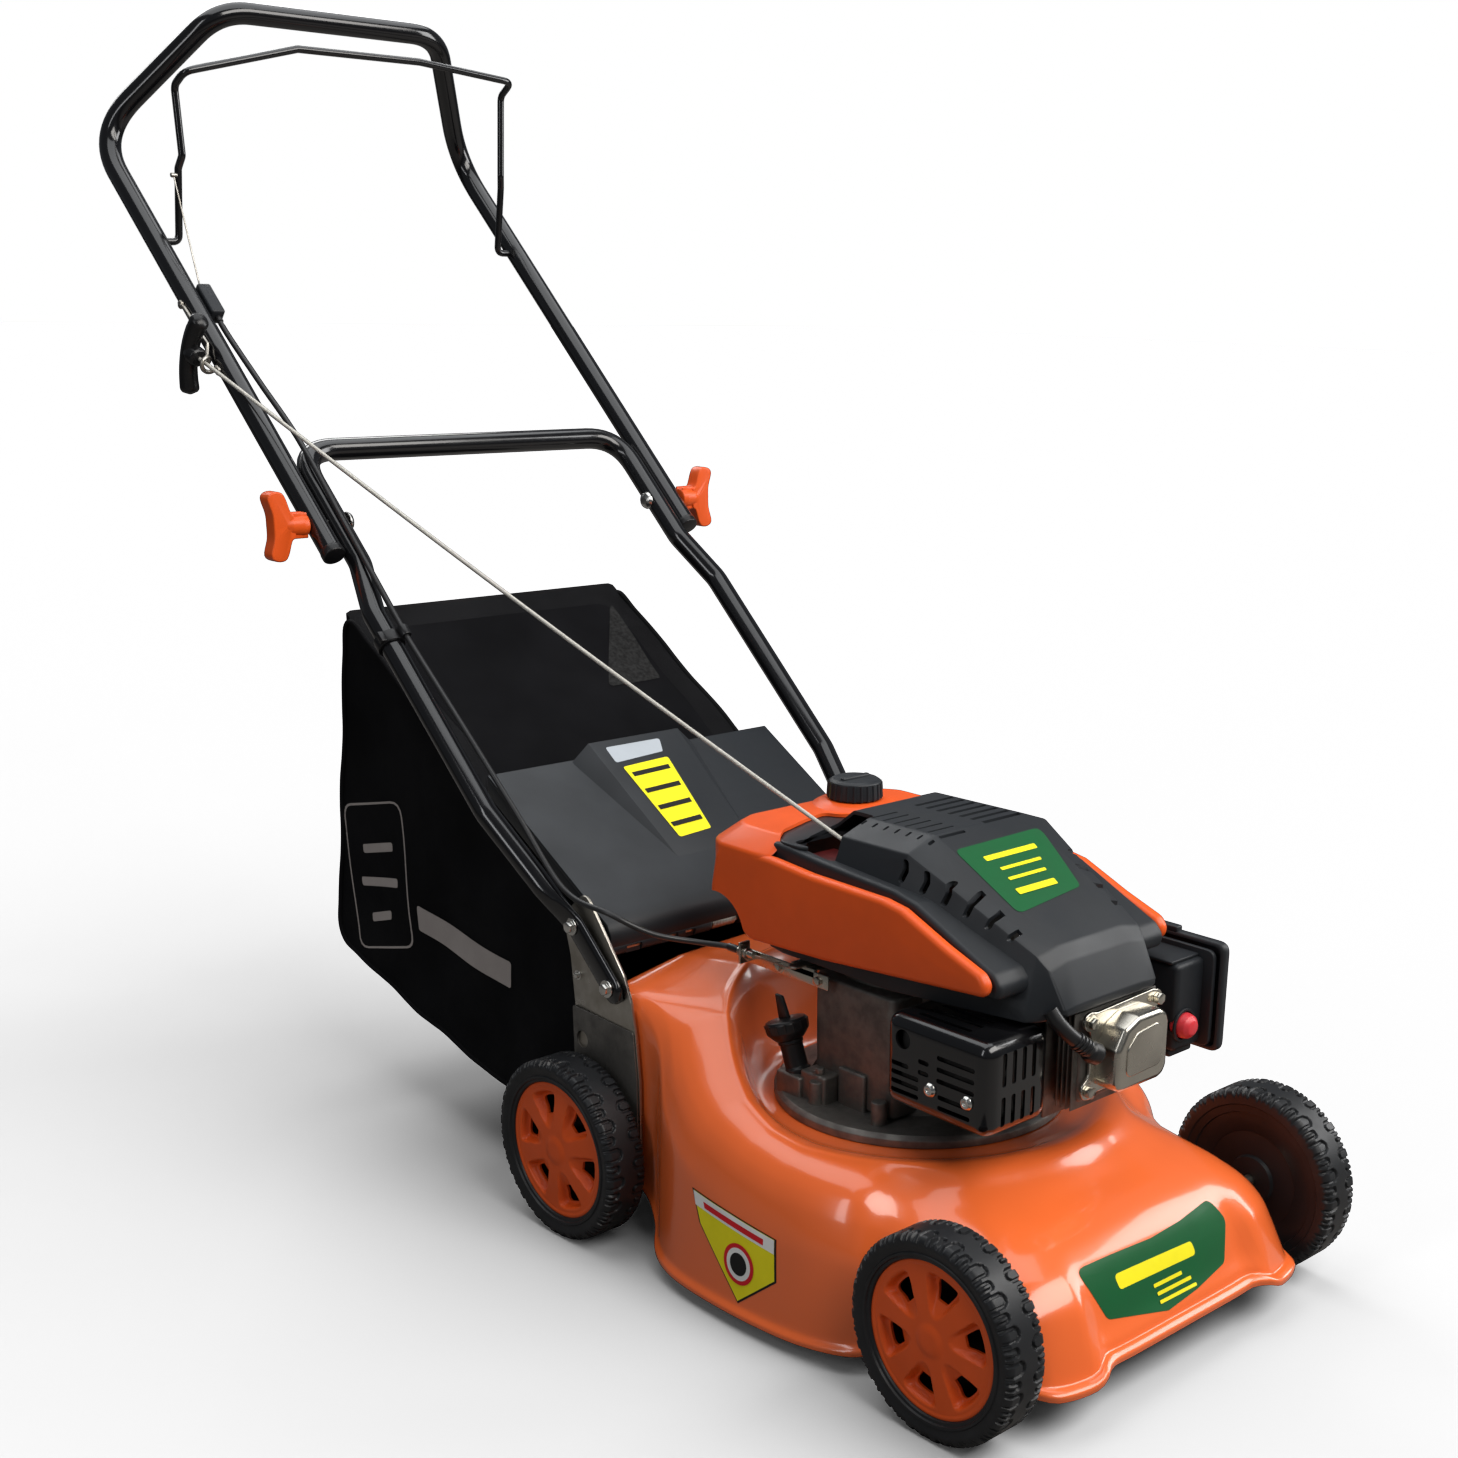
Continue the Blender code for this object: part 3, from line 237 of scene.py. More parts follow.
def bridge(bm, a, b):
    """Faces between two closed rings of vertices."""
    for k in range(len(a)):
        n = (k + 1) % len(a)
        bm.faces.new((a[k], a[n], b[n], b[k]))


def extrude(bm, points, step):
    """A closed solid: an outline moved along step."""
    face = bm.faces.new([bm.verts.new(p) for p in points])
    made = bmesh.ops.extrude_face_region(bm, geom=[face])
    bmesh.ops.translate(bm, vec=step, verts=[g for g in made["geom"] if isinstance(g, bmesh.types.BMVert)])


def weld(obj, distance):
    """Join the vertices that meet and turn the faces outwards."""
    bm = bmesh.new()
    bm.from_mesh(obj.data)
    bmesh.ops.remove_doubles(bm, verts=bm.verts, dist=distance)
    bmesh.ops.recalc_face_normals(bm, faces=bm.faces)
    bm.to_mesh(obj.data)
    bm.free()


def soften(obj, angle=32):
    obj.data.shade_smooth()
    obj.data.set_sharp_from_angle(angle=math.radians(angle))
    return obj


def mesh_from(bm, name):
    bmesh.ops.recalc_face_normals(bm, faces=bm.faces)
    mesh = bpy.data.meshes.new(name)
    bm.to_mesh(mesh)
    bm.free()
    return mesh


def from_bmesh(name, bm, mat, angle=32):
    """An object from a bmesh in millimetres."""
    bm.transform(WORLD)
    return soften(link(name, mesh_from(bm, name), mat), angle)


def evaluated(obj):
    """Apply an object's modifiers."""
    bpy.context.view_layer.update()
    mesh = bpy.data.meshes.new_from_object(obj.evaluated_get(bpy.context.evaluated_depsgraph_get()))
    old = obj.data
    obj.modifiers.clear()
    obj.data = mesh
    mesh.name = obj.name
    if not old.users:
        bpy.data.meshes.remove(old)
    return soften(obj)


def bevelled(obj, width, segments, angle=32):
    mod = obj.modifiers.new("bevel", "BEVEL")
    mod.width, mod.segments = width * MM, segments
    mod.limit_method, mod.angle_limit = "ANGLE", math.radians(angle)
    return evaluated(obj)


def thick(obj, depth):
    """Give a sheet thickness, inwards from its normals for a positive depth."""
    mod = obj.modifiers.new("solidify", "SOLIDIFY")
    mod.thickness, mod.offset = depth * MM, -1.0
    mod.use_even_offset = True
    return evaluated(obj)


def boolean(obj, others, operation="DIFFERENCE"):
    for other in others:
        mod = obj.modifiers.new("boolean", "BOOLEAN")
        mod.operation, mod.solver, mod.object = operation, "EXACT", other
        evaluated(obj)
        bpy.data.objects.remove(other, do_unlink=True)
    return obj


def cut(obj, *others):
    return boolean(obj, others)


def fuse(obj, *others):
    return boolean(obj, others, "UNION")


def join(first, *others):
    """Several closed pieces in one object."""
    bm = bmesh.new()
    bm.from_mesh(first.data)
    for other in others:
        bm.from_mesh(other.data)
        bpy.data.objects.remove(other, do_unlink=True)
    bm.to_mesh(first.data)
    bm.free()
    return soften(first)


def box(name, xs, ys, zs, mat="plastic", bevel=0.0, segments=4):
    bm = bmesh.new()
    bmesh.ops.create_cube(bm, size=1.0)
    low, high = Vector((min(xs), min(ys), min(zs))), Vector((max(xs), max(ys), max(zs)))
    bmesh.ops.scale(bm, vec=high - low, verts=bm.verts)
    bmesh.ops.translate(bm, vec=(low + high) / 2, verts=bm.verts)
    obj = from_bmesh(name, bm, mat)
    return bevelled(obj, bevel, segments) if bevel else obj


def boxes(name, spans, bevel=0.0):
    return join(*[box(name, *span, bevel=bevel, segments=3) for span in spans])


SIDES = (("right", -1), ("left", 1))
AXES = {
    "X": (Vector((0, 1, 0)), Vector((0, 0, 1)), Vector((1, 0, 0))),
    "Y": (Vector((0, 0, 1)), Vector((1, 0, 0)), Vector((0, 1, 0))),
    "Z": (Vector((1, 0, 0)), Vector((0, 1, 0)), Vector((0, 0, 1))),
}


def frame_of(axis):
    """Two directions across an axis, and the axis: a letter or a vector."""
    if isinstance(axis, str):
        return AXES[axis]
    w = Vector(axis).normalized()
    u = w.cross(Vector((1, 0, 0)) if abs(w.x) < 0.9 else Vector((0, 1, 0))).normalized()
    return u, w.cross(u), w


def lathe(name, profile, axis, centre, mat="plastic", steps=64):
    """A turned piece from (radius, height) pairs; ends on the axis close it."""
    u, v, w = frame_of(axis)
    centre = Vector(centre)
    bm = bmesh.new()
    rings = []
    for r, h in profile:
        turns = np.arange(steps if r > 1e-6 else 1) * 2 * math.pi / steps
        rings.append([bm.verts.new(centre + w * h + (u * math.cos(a) + v * math.sin(a)) * r)
                      for a in turns])
    for a, b in zip(rings, rings[1:]):
        if len(a) == len(b):
            bridge(bm, a, b)
            continue
        (tip,), ring = sorted((a, b), key=len)
        for k in range(steps):
            bm.faces.new((tip, ring[k], ring[(k + 1) % steps]))
    bmesh.ops.remove_doubles(bm, verts=bm.verts, dist=0.001)
    return from_bmesh(name, bm, mat)


def rounded(profile, radius=1.0, steps=3, closed=False):
    """The same outline of pairs with its corners rounded."""
    return [p[:2] for p in fillet([(*p, 0) for p in profile], radius, steps, closed)]


def loop_of(outline, radius, steps=4):
    return rounded(outline, radius, steps, closed=True)


def rod(name, start, end, radius, mat="plastic", sides=40, bevel=0.0, end_radius=None):
    a, b = Vector(start), Vector(end)
    far = radius if end_radius is None else end_radius
    length = (b - a).length
    profile = [(0, 0), (radius, 0), (far, length), (0, length)]
    if bevel:
        profile = rounded(profile, bevel * 2)
    return lathe(name, profile, b - a, a, mat, sides)


def slab(name, outline, axis, low, high, mat="plastic", bevel=0.0, segments=4):
    """An outline with a thickness. Pairs are (y, z) for X, (z, x) for Y and (x, y) for Z."""
    u, v, w = AXES[axis]
    bm = bmesh.new()
    extrude(bm, [u * a + v * b + w * low for a, b in outline], w * (high - low))
    obj = from_bmesh(name, bm, mat)
    return bevelled(obj, bevel, segments) if bevel else obj


def hull(name, points, mat="plastic", bevel=0.0, segments=4, angle=14):
    bm = bmesh.new()
    for p in points:
        bm.verts.new(p)
    bmesh.ops.convex_hull(bm, input=bm.verts)
    bmesh.ops.delete(bm, geom=[v for v in bm.verts if not v.link_faces], context="VERTS")
    bmesh.ops.dissolve_limit(bm, angle_limit=math.radians(3), verts=bm.verts, edges=bm.edges)
    obj = from_bmesh(name, bm, mat)
    return bevelled(obj, bevel, segments, angle) if bevel else obj


def fillet(points, radius, steps, closed=False):
    """Round the corners of a path."""
    pts = [Vector(p) for p in points]
    count = len(pts)
    out = []
    for i, p in enumerate(pts):
        if not closed and i in (0, count - 1):
            out.append(p)
            continue
        u, v = pts[i - 1] - p, pts[(i + 1) % count] - p
        bend = math.pi - u.angle(v)
        if bend < 0.02:
            out.append(p)
            continue
        reach = min(radius * math.tan(bend / 2), 0.47 * u.length, 0.47 * v.length)
        a, b = p + u.normalized() * reach, p + v.normalized() * reach
        out += [(1 - t) ** 2 * a + 2 * t * (1 - t) * p + t * t * b for t in np.linspace(0, 1, steps + 1)]
    return [tuple(p) for p in out]


def spline(points, count):
    """Points evenly spread along a smooth curve through the given points."""
    pts = np.array(points, float)
    pts = np.vstack([2 * pts[0] - pts[1], pts, 2 * pts[-1] - pts[-2]])
    dense = []
    for i in range(1, len(pts) - 2):
        p0, p1, p2, p3 = pts[i - 1:i + 3]
        for t in np.linspace(0, 1, 24, endpoint=False):
            dense.append(0.5 * (2 * p1 + (p2 - p0) * t + (2 * p0 - 5 * p1 + 4 * p2 - p3) * t ** 2
                                + (3 * p1 - 3 * p2 + p3 - p0) * t ** 3))
    dense = np.array(dense + [pts[-2]])
    run = np.r_[0, np.cumsum(np.linalg.norm(np.diff(dense, axis=0), axis=1))]
    spots = np.linspace(0, run[-1], count)
    return [tuple(np.interp(s, run, dense[:, k]) for k in range(dense.shape[1])) for s in spots]


def pipe(name, points, radius, mat="gloss", sides=24, closed=False, flat=None, up=None):
    """A tube along a path, with UV in millimetres. flat(i, count) gives its two half widths."""
    pts = [Vector(p) for p in points]
    count = len(pts)
    tangents = []
    for i in range(count):
        if closed:
            t = pts[(i + 1) % count] - pts[i - 1]
        else:
            t = pts[min(i + 1, count - 1)] - pts[max(i - 1, 0)]
        tangents.append(t.normalized())
    first = Vector(up) if up else frame_of(tangents[0])[0]
    normals = []
    for t in tangents:
        base = Vector(up) if up else (normals[-1] if normals else first)
        normals.append((base - t * base.dot(t)).normalized())
    twist = 0.0
    if closed and not up:
        end = normals[-1] - tangents[0] * normals[-1].dot(tangents[0])
        twist = math.atan2(end.cross(normals[0]).dot(tangents[0]), end.dot(normals[0]))
    bm = bmesh.new()
    uv = bm.loops.layers.uv.new("UVMap")
    rings, runs, run = [], [], 0.0
    for i, (p, t, n) in enumerate(zip(pts, tangents, normals)):
        run += (p - pts[i - 1]).length if i else 0.0
        runs.append(run)
        side = t.cross(n)
        a, b = flat(i, count) if flat else (radius, radius)
        ring = []
        for k in range(sides):
            angle = 2 * math.pi * k / sides + twist * i / count
            ring.append(bm.verts.new(p + n * math.cos(angle) * a + side * math.sin(angle) * b))
        rings.append(ring)
    wide = 2 * math.pi * radius
    last = count if closed else count - 1
    for i in range(last):
        a, b = rings[i], rings[(i + 1) % count]
        next_run = runs[i + 1] if i + 1 < count else run + (pts[0] - pts[-1]).length
        for k in range(sides):
            n = (k + 1) % sides
            face = bm.faces.new((a[k], a[n], b[n], b[k]))
            for loop, (du, dv) in zip(face.loops, ((runs[i], k), (runs[i], k + 1), (next_run, k + 1),
                                                   (next_run, k))):
                loop[uv].uv = (du, dv / sides * wide)
    if not closed:
        bm.faces.new(rings[0])
        bm.faces.new(rings[-1])
    return from_bmesh(name, bm, mat, 50)


def surface_grid(name, rows, mat, closed=False, uv_size=None, angle=60):
    """A sheet through rows of points, with UV in millimetres when uv_size gives the two lengths."""
    bm = bmesh.new()
    uv = bm.loops.layers.uv.new("UVMap")
    grid = [[bm.verts.new(p) for p in row] for row in rows]
    high, wide = len(grid), len(grid[0])
    for i in range(high - 1):
        for k in range(wide if closed else wide - 1):
            n = (k + 1) % wide
            face = bm.faces.new((grid[i][k], grid[i][n], grid[i + 1][n], grid[i + 1][k]))
            if uv_size:
                spots = ((i, k), (i, k + 1), (i + 1, k + 1), (i + 1, k))
                for loop, (a, b) in zip(face.loops, spots):
                    loop[uv].uv = (b / wide * uv_size[0], a / high * uv_size[1])
    return from_bmesh(name, bm, mat, angle)


def mirrored(points):
    return [(-p[0], *p[1:]) for p in points]


def place(obj, body, slot, *nodes):
    """Fix a finished piece to its body and hide what it stands for; slot is not used."""
    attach(obj, body)
    if nodes:
        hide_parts(*nodes)
    return obj


def tree_of(*objs):
    """A search tree over the meshes of objects, in millimetres."""
    verts, faces = [], []
    for obj in objs:
        start = len(verts)
        matrix = LOCAL @ obj.matrix_world
        verts += [matrix @ v.co for v in obj.data.vertices]
        faces += [[start + i for i in p.vertices] for p in obj.data.polygons]
    return BVHTree.FromPolygons(verts, faces)


def decal(name, outline, spot, direction, tree, mat, lift):
    """A thin label: a flat outline laid on a surface. spot(u, v) starts a ray along direction."""
    rings, steps = 8, 80
    closed = np.array([*outline, outline[0]], float)
    run = np.r_[0, np.cumsum(np.linalg.norm(np.diff(closed, axis=0), axis=1))]
    spots = np.unique(np.r_[np.linspace(0, run[-1], steps, endpoint=False), run[:-1]])
    edge = [(np.interp(s, run, closed[:, 0]), np.interp(s, run, closed[:, 1])) for s in spots]
    middle = np.mean(edge, axis=0)
    down = Vector(direction).normalized()
    bm = bmesh.new()

    def lay(u, v):
        start = Vector(spot(u, v))
        hit, normal, _, _ = tree.ray_cast(start - down * 200, down)
        if hit is None:
            return bm.verts.new(start)
        if normal.dot(down) > 0:
            normal = -normal
        return bm.verts.new(hit + normal * lift)

    centre = lay(*middle)
    before = None
    for ring in range(1, rings + 1):
        t = ring / rings
        now = [lay(middle[0] + (u - middle[0]) * t, middle[1] + (v - middle[1]) * t) for u, v in edge]
        if before:
            bridge(bm, before, now)
        else:
            for a, b in zip(now, now[1:] + now[:1]):
                bm.faces.new((centre, a, b))
        before = now
    return from_bmesh(name, bm, mat, 60)


# ---------------------------------------------------------------- camera, floor and light

def make_camera():
    """Camera at the photograph's angle: 46.4 degrees round to the right, 18.4 degrees up."""
    turn, height, roll = math.radians(-46.4), math.radians(18.4), math.radians(1.5)
    back = Vector((math.sin(turn) * math.cos(height), -math.cos(turn) * math.cos(height),
                   math.sin(height)))
    right = Vector((math.cos(turn), math.sin(turn), 0))
    up = back.cross(right)
    right, up = (right * math.cos(roll) + up * math.sin(roll),
                 up * math.cos(roll) - right * math.sin(roll))
    data = bpy.data.cameras.new("camera")
    camera = bpy.data.objects.new("camera", data)
    bpy.context.scene.collection.objects.link(camera)
    camera.matrix_world = Matrix.Translation(point(0, 0, 300.1) + back * 1.7918) @ Matrix(
        (right, up, back)).transposed().to_4x4()
    data.sensor_width = 36
    data.lens = 48.85
    data.shift_x = -0.131
    data.shift_y = 0.148
    bpy.context.scene.camera = camera


def area_light(name, spot, aim, size, power, colour=(1, 1, 1)):
    data = bpy.data.lights.new(name, "AREA")
    data.shape = "RECTANGLE"
    data.size, data.size_y = size
    data.energy = power
    data.color = colour
    lamp = bpy.data.objects.new(name, data)
    lamp.location = spot
    lamp.rotation_euler = (Vector(aim) - Vector(spot)).to_track_quat("-Z", "Y").to_euler()
    bpy.context.scene.collection.objects.link(lamp)


def make_studio():
    scene = bpy.context.scene
    scene.view_settings.view_transform = "Standard"
    world = bpy.data.worlds.new("studio")
    scene.world = world
    world.use_nodes = True
    tree = world.node_tree
    soft = tree.nodes["Background"]
    soft.inputs["Color"].default_value = (0.86, 0.92, 1.0, 1)
    soft.inputs["Strength"].default_value = 0.10
    plain = tree.nodes.new("ShaderNodeBackground")
    plain.inputs["Color"].default_value = (1.0, 1.0, 1.0, 1)
    choose = tree.nodes.new("ShaderNodeMixShader")
    path = tree.nodes.new("ShaderNodeLightPath")
    tree.links.new(path.outputs["Is Camera Ray"], choose.inputs[0])
    tree.links.new(soft.outputs[0], choose.inputs[1])
    tree.links.new(plain.outputs[0], choose.inputs[2])
    tree.links.new(choose.outputs[0], tree.nodes["World Output"].inputs["Surface"])
    area_light("key", (0.3, -2.0, 2.2), (0, -0.2, 0.2), (2.8, 1.3), 70, (1.0, 0.97, 0.93))
    area_light("top", (0.1, 0.3, 2.6), (0, 0, 0.4), (2.6, 2.4), 34, (0.96, 0.98, 1.0))
    area_light("window", (-2.6, -0.4, 1.6), (0, 0, 0.4), (0.4, 1.8), 10, (0.96, 0.97, 1.0))
    area_light("side", (2.4, -1.4, 1.5), (0, -0.1, 0.3), (1.2, 1.8), 40)
    area_light("back", (0.6, 2.4, 2.2), (0, 0, 0.5), (2.0, 1.0), 24)
    mesh = bpy.data.meshes.new("floor")
    mesh.from_pydata([(-30, -30, 0), (30, -30, 0), (30, 30, 0), (-30, 30, 0)], [], [(0, 1, 2, 3)])
    floor = bpy.data.objects.new("floor", mesh)
    scene.collection.objects.link(floor)
    mesh.materials.append(Surface("floor", (0.16, 0.15, 0.14), 0.8).tone(3, 0.01, 0.02).done())
    floor.is_shadow_catcher = True


# ---------------------------------------------------------------- deck

DECK_C = (0.0, -5.0)
TOP = 160.0
OUTLINE = [                    # half of the lower edge: x, y, height of the lip
    (0, -320, 43), (70, -320, 43), (106, -319, 43), (124, -318, 37), (150, -312, 36),
    (168, -302, 37), (178, -286, 39), (181, -262, 36), (182, -190, 30), (189, -152, 22),
    (207, -128, 17), (221, -85, 15), (226, -30, 14), (226, 35, 14), (221, 85, 15), (207, 122, 18),
    (187, 150, 30), (180, 175, 50), (180, 215, 60), (172, 228, 62), (90, 228, 62), (0, 228, 62),
]


def ease(value, start, end):
    t = min(max((value - start) / (end - start), 0.0), 1.0)
    return t * t * (3 - 2 * t)


def deck_sections(steps):
    """For each direction, the curve from the engine hole out to the lip, as (distance, height)."""
    half = np.array(spline(OUTLINE, 260))
    bearing = np.arctan2(half[:, 0], -(half[:, 1] - DECK_C[1]))
    reach = np.hypot(half[:, 0], half[:, 1] - DECK_C[1])
    curves = []
    for k in range(steps):
        angle = -math.pi + 2 * math.pi * k / steps
        turn = abs(math.degrees(angle))
        far = float(np.interp(abs(angle), bearing, reach))
        lip = float(np.interp(abs(angle), bearing, half[:, 2]))
        crest_r = 176.0
        crest = float(np.interp(180 - turn, [0, 24, 50, 65, 74, 88, 100, 180],
                                [261, 258, 235, 203, 186, 172, 167, 166]))
        span = far - crest_r
        front = 1 - ease(turn, 42, 62)
        rear = ease(turn, 118, 140)
        side = 1 - front - rear
        rise = crest - TOP
        inner = [(46, TOP), (80, TOP), (120, TOP), (143, TOP), (152, TOP + 0.08 * rise),
                 (160, TOP + 0.4 * rise), (167, TOP + 0.8 * rise), (crest_r, crest)]
        ahead = [(0.08, 163), (0.17, 153), (0.30, 143.5), (0.46, 135), (0.62, 125), (0.74, 113),
                 (0.82, 95), (0.895, 70), (0.945, lip + 15), (0.965, lip + 9), (0.99, lip + 8),
                 (1 + 3 / span, lip + 5), (1 + 3 / span, lip)]
        beside = [(0.08, crest - 1), (0.2, crest - 2.5), (0.36, crest - 6), (0.52, crest - 12),
                  (0.66, crest - 21), (0.78, crest - 34), (0.88, crest - 53), (0.94, crest - 72),
                  (0.98, lip + 40), (1.0, lip + 18), (1 + 1 / span, lip + 9), (1 + 5 / span, lip + 4),
                  (1 + 5 / span, lip)]
        behind = [(0.08, crest), (0.2, crest + 0.4), (0.36, crest + 0.8), (0.52, crest + 1.2),
                  (0.66, crest + 1.5), (0.80, crest + 1.2), (0.90, crest - 1), (0.97, crest - 7),
                  (1.0, crest - 20), (1.0, lip + 40), (1.0, lip + 12), (1 + 1 / span, lip + 4),
                  (1 + 1 / span, lip)]
        outer = []
        for f, s, b in zip(ahead, beside, behind):
            fraction = front * f[0] + side * s[0] + rear * b[0]
            outer.append((crest_r + fraction * span, front * f[1] + side * s[1] + rear * b[1]))
        curves.append((angle, smooth_curve(inner + outer, 4)))
    return curves


def smooth_curve(points, per):
    """A smooth curve through every point, with a fixed number of steps between them."""
    pts = np.array(points, float)
    pts = np.vstack([2 * pts[0] - pts[1], pts, 2 * pts[-1] - pts[-2]])
    out = []
    for i in range(1, len(pts) - 2):
        p0, p1, p2, p3 = pts[i - 1:i + 3]
        for t in np.linspace(0, 1, per, endpoint=False):
            a = 0.4 * (p2 - p0)
            b = 0.4 * (p3 - p1)
            out.append((2 * t ** 3 - 3 * t ** 2 + 1) * p1 + (t ** 3 - 2 * t ** 2 + t) * a
                       + (3 * t ** 2 - 2 * t ** 3) * p2 + (t ** 3 - t ** 2) * b)
    return out + [pts[-2]]


def make_deck():
    rows = []
    for angle, curve in deck_sections(300):
        row = []
        for r, z in curve:
            x, y = DECK_C[0] + r * math.sin(angle), DECK_C[1] - r * math.cos(angle)
            # the front corners stand out from the panel between them
            low = ease(z, 128, 92) * ease(-y, 225, 262)
            corner = ease(abs(x), 98, 116) * (1 - ease(abs(x), 160, 182))
            panel = 1 - ease(abs(x), 92, 104)
            push = low * (9.0 * corner - 1.5 * panel)
            row.append((x + push * 0.35 * math.copysign(1, x), y - push, z))
        rows.append(row)
    rows.append(rows[0])
    deck = surface_grid("deck_shell", rows, "enamel", angle=180)
    weld(deck, 0.00001)
    top = min(deck.data.polygons, key=lambda f: (f.center - point(60, -5, TOP)).length)
    if top.normal.z < 0:
        deck.data.flip_normals()
    thick(deck, 2.0)
    cut(deck, rod("cut", (-260, -243.5, 87.5), (260, -243.5, 87.5), 6.6),
        box("cut", (-140, 140), (214, 250), (92, 236)))
    return place(soften(deck, 50), "root", "orange_paint", "deck")


def disc(u, v, radius):
    return [(u + radius * math.cos(a), v + radius * math.sin(a))
            for a in np.linspace(0, 2 * math.pi, 40, endpoint=False)]


def labels(body, slot, tree, spot, aim, rows, step=0.15):
    """Flat labels one over the other: name, outline, material."""
    for k, (name, outline, mat) in enumerate(rows):
        place(decal(name, outline, spot, aim, tree, mat, 0.35 + step * k), body, slot)


def make_badges(deck):
    """Plain coloured labels, without words or signs."""
    tree = tree_of(deck)

    def front(u, v):
        return (u, -300 + (v - 90) * 0.5, v)

    def side(u, v):
        return (-260, u, v)

    shield = loop_of([(-103, 122), (-59, 120), (-8, 117), (34, 119), (80, 125), (92, 104), (74, 74),
                      (30, 66), (-13, 62), (-84, 78)], 8)
    rows = [("badge_front", shield, "green"),
            ("badge_front_bar", loop_of([(-64, 105), (38, 101), (40, 90), (-62, 93)], 4), "yellow")]
    for k, (low, high, v) in enumerate(((-22, 16, 85), (-20, 26, 78.5), (-20, 30, 72))):
        rows.append(("badge_front_line_%d" % k, loop_of([(low, v), (high, v - 0.6), (high, v - 3.4),
                                                         (low, v - 2.8)], 1), "yellow"))
    labels("root", "orange_paint", tree, front, (0, 0.62, -0.785), rows)
    tag = [(56.8, 111), (-52.6, 99.8), (-55, 61), (-9.5, 25), (45.4, 82)]

    def inset(scale):
        return [(1.5 + (u - 1.5) * scale, 78 + (v - 78) * scale) for u, v in tag]

    rows = [("side_label_edge", tag, "ink"), ("side_label", inset(0.96), "yellow"),
            ("side_label_band", [(54.6, 109.4), (-50.4, 98.6), (-51.2, 86), (51, 97)], "white"),
            ("side_label_stripe", [(40, 103.5), (-38, 95.6), (-38, 90), (38, 98)], "warning_red"),
            ("side_label_ring", disc(-9, 62, 19), "warning_red"),
            ("side_label_disc", disc(-9, 62, 15), "white"),
            ("side_label_dot", disc(-9, 62, 10.5), "ink")]
    labels("root", "orange_paint", tree, side, (1, 0, 0), rows)


# ---------------------------------------------------------------- wheels

WHEEL_R = 87.5
LUGS = 20


def groove(u, e, half, reach):
    """How deep in a U-shaped groove a point is: u from the U's middle, e from the tread's edge."""
    over = np.maximum(0.0, e - (reach - half))
    off = np.abs(np.sqrt(u * u + over * over) - half)
    return np.clip((1.7 - off) / 0.6, 0.0, 1.0)


def make_wheel_mesh():
    """One wheel about the X axis through the origin, outer face towards +X, in millimetres."""
    columns = LUGS * 36
    pitch = 2 * math.pi * WHEEL_R / LUGS
    arc = np.arange(columns) / columns * 2 * math.pi * WHEEL_R
    outer = [(6.6, 226), (15, 226), (15, 202), (30, 201.5), (60, 201.5), (65.6, 203), (66.2, 232.2),
             (67.2, 233.6), (69.4, 234), (70.2, 235.6), (72.4, 235.9), (73.2, 234.9), (76, 235.6),
             (79, 236.4)]
    shoulder = [(81.5, 236.6), (83.6, 236.2), (85.3, 235), (86.6, 233.4)]
    tread = [(WHEEL_R, x) for x in np.linspace(231.8, 198.2, 40)]
    inner = [(86.6, 196.6), (85.3, 195), (83.6, 193.8), (81.5, 193.3), (78, 193.2), (74, 193.2),
             (72.8, 194.6), (66, 195.2), (65, 197.2), (48, 197.4), (46.6, 198.6), (24, 198.6),
             (22.6, 195), (15, 194.2), (6.6, 194.2)]
    rows = []
    for r, x in outer + shoulder + tread + inner:
        radius = np.full(columns, float(r))
        if r > 81:
            e_out, e_in = 236.6 - x, x - 193.3
            phase = (arc + 0.5 * pitch) % pitch - 0.5 * pitch
            other = arc % pitch - 0.5 * pitch
            depth = np.maximum(groove(phase, e_out, 4.9, 15.5), groove(other, e_out, 2.9, 11))
            depth = np.maximum(depth, groove(other, e_in, 4.9, 15.5))
            depth = np.maximum(depth, groove(phase, e_in, 2.9, 11))
            between = np.clip((np.abs(np.abs(phase) - 0.27 * pitch) - 1.2) / 0.8, 0.0, 1.0)
            edge = np.clip((5.0 - min(e_out, e_in)) / 3.0, 0.0, 1.0)
            radius -= 2.3 * depth * (0.4 + 0.6 * min(1.0, (r - 81) / 5))
            radius -= 1.6 * edge * (1 - between)
        rows.append([(x, radius[k] * math.cos(2 * math.pi * k / columns),
                      radius[k] * math.sin(2 * math.pi * k / columns)) for k in range(columns)])
    bm = bmesh.new()
    grid = [[bm.verts.new(Vector(p) * MM) for p in row] for row in rows]
    for a, b in zip(grid, grid[1:] + grid[:1]):
        bridge(bm, a, b)
    return mesh_from(bm, "wheel")


def pocket(u, v):
    """Rough signed distance to a hub pocket: a rounded wedge along u that widens to the rim."""
    spread = math.radians(23)
    out = 21 - u
    for side in (abs(v) * math.cos(spread) - (u - 10) * math.sin(spread), math.hypot(u, v) - 57.5):
        out = max(out, side) + max(0.0, 6 - abs(out - side)) ** 2 / 24
    return out


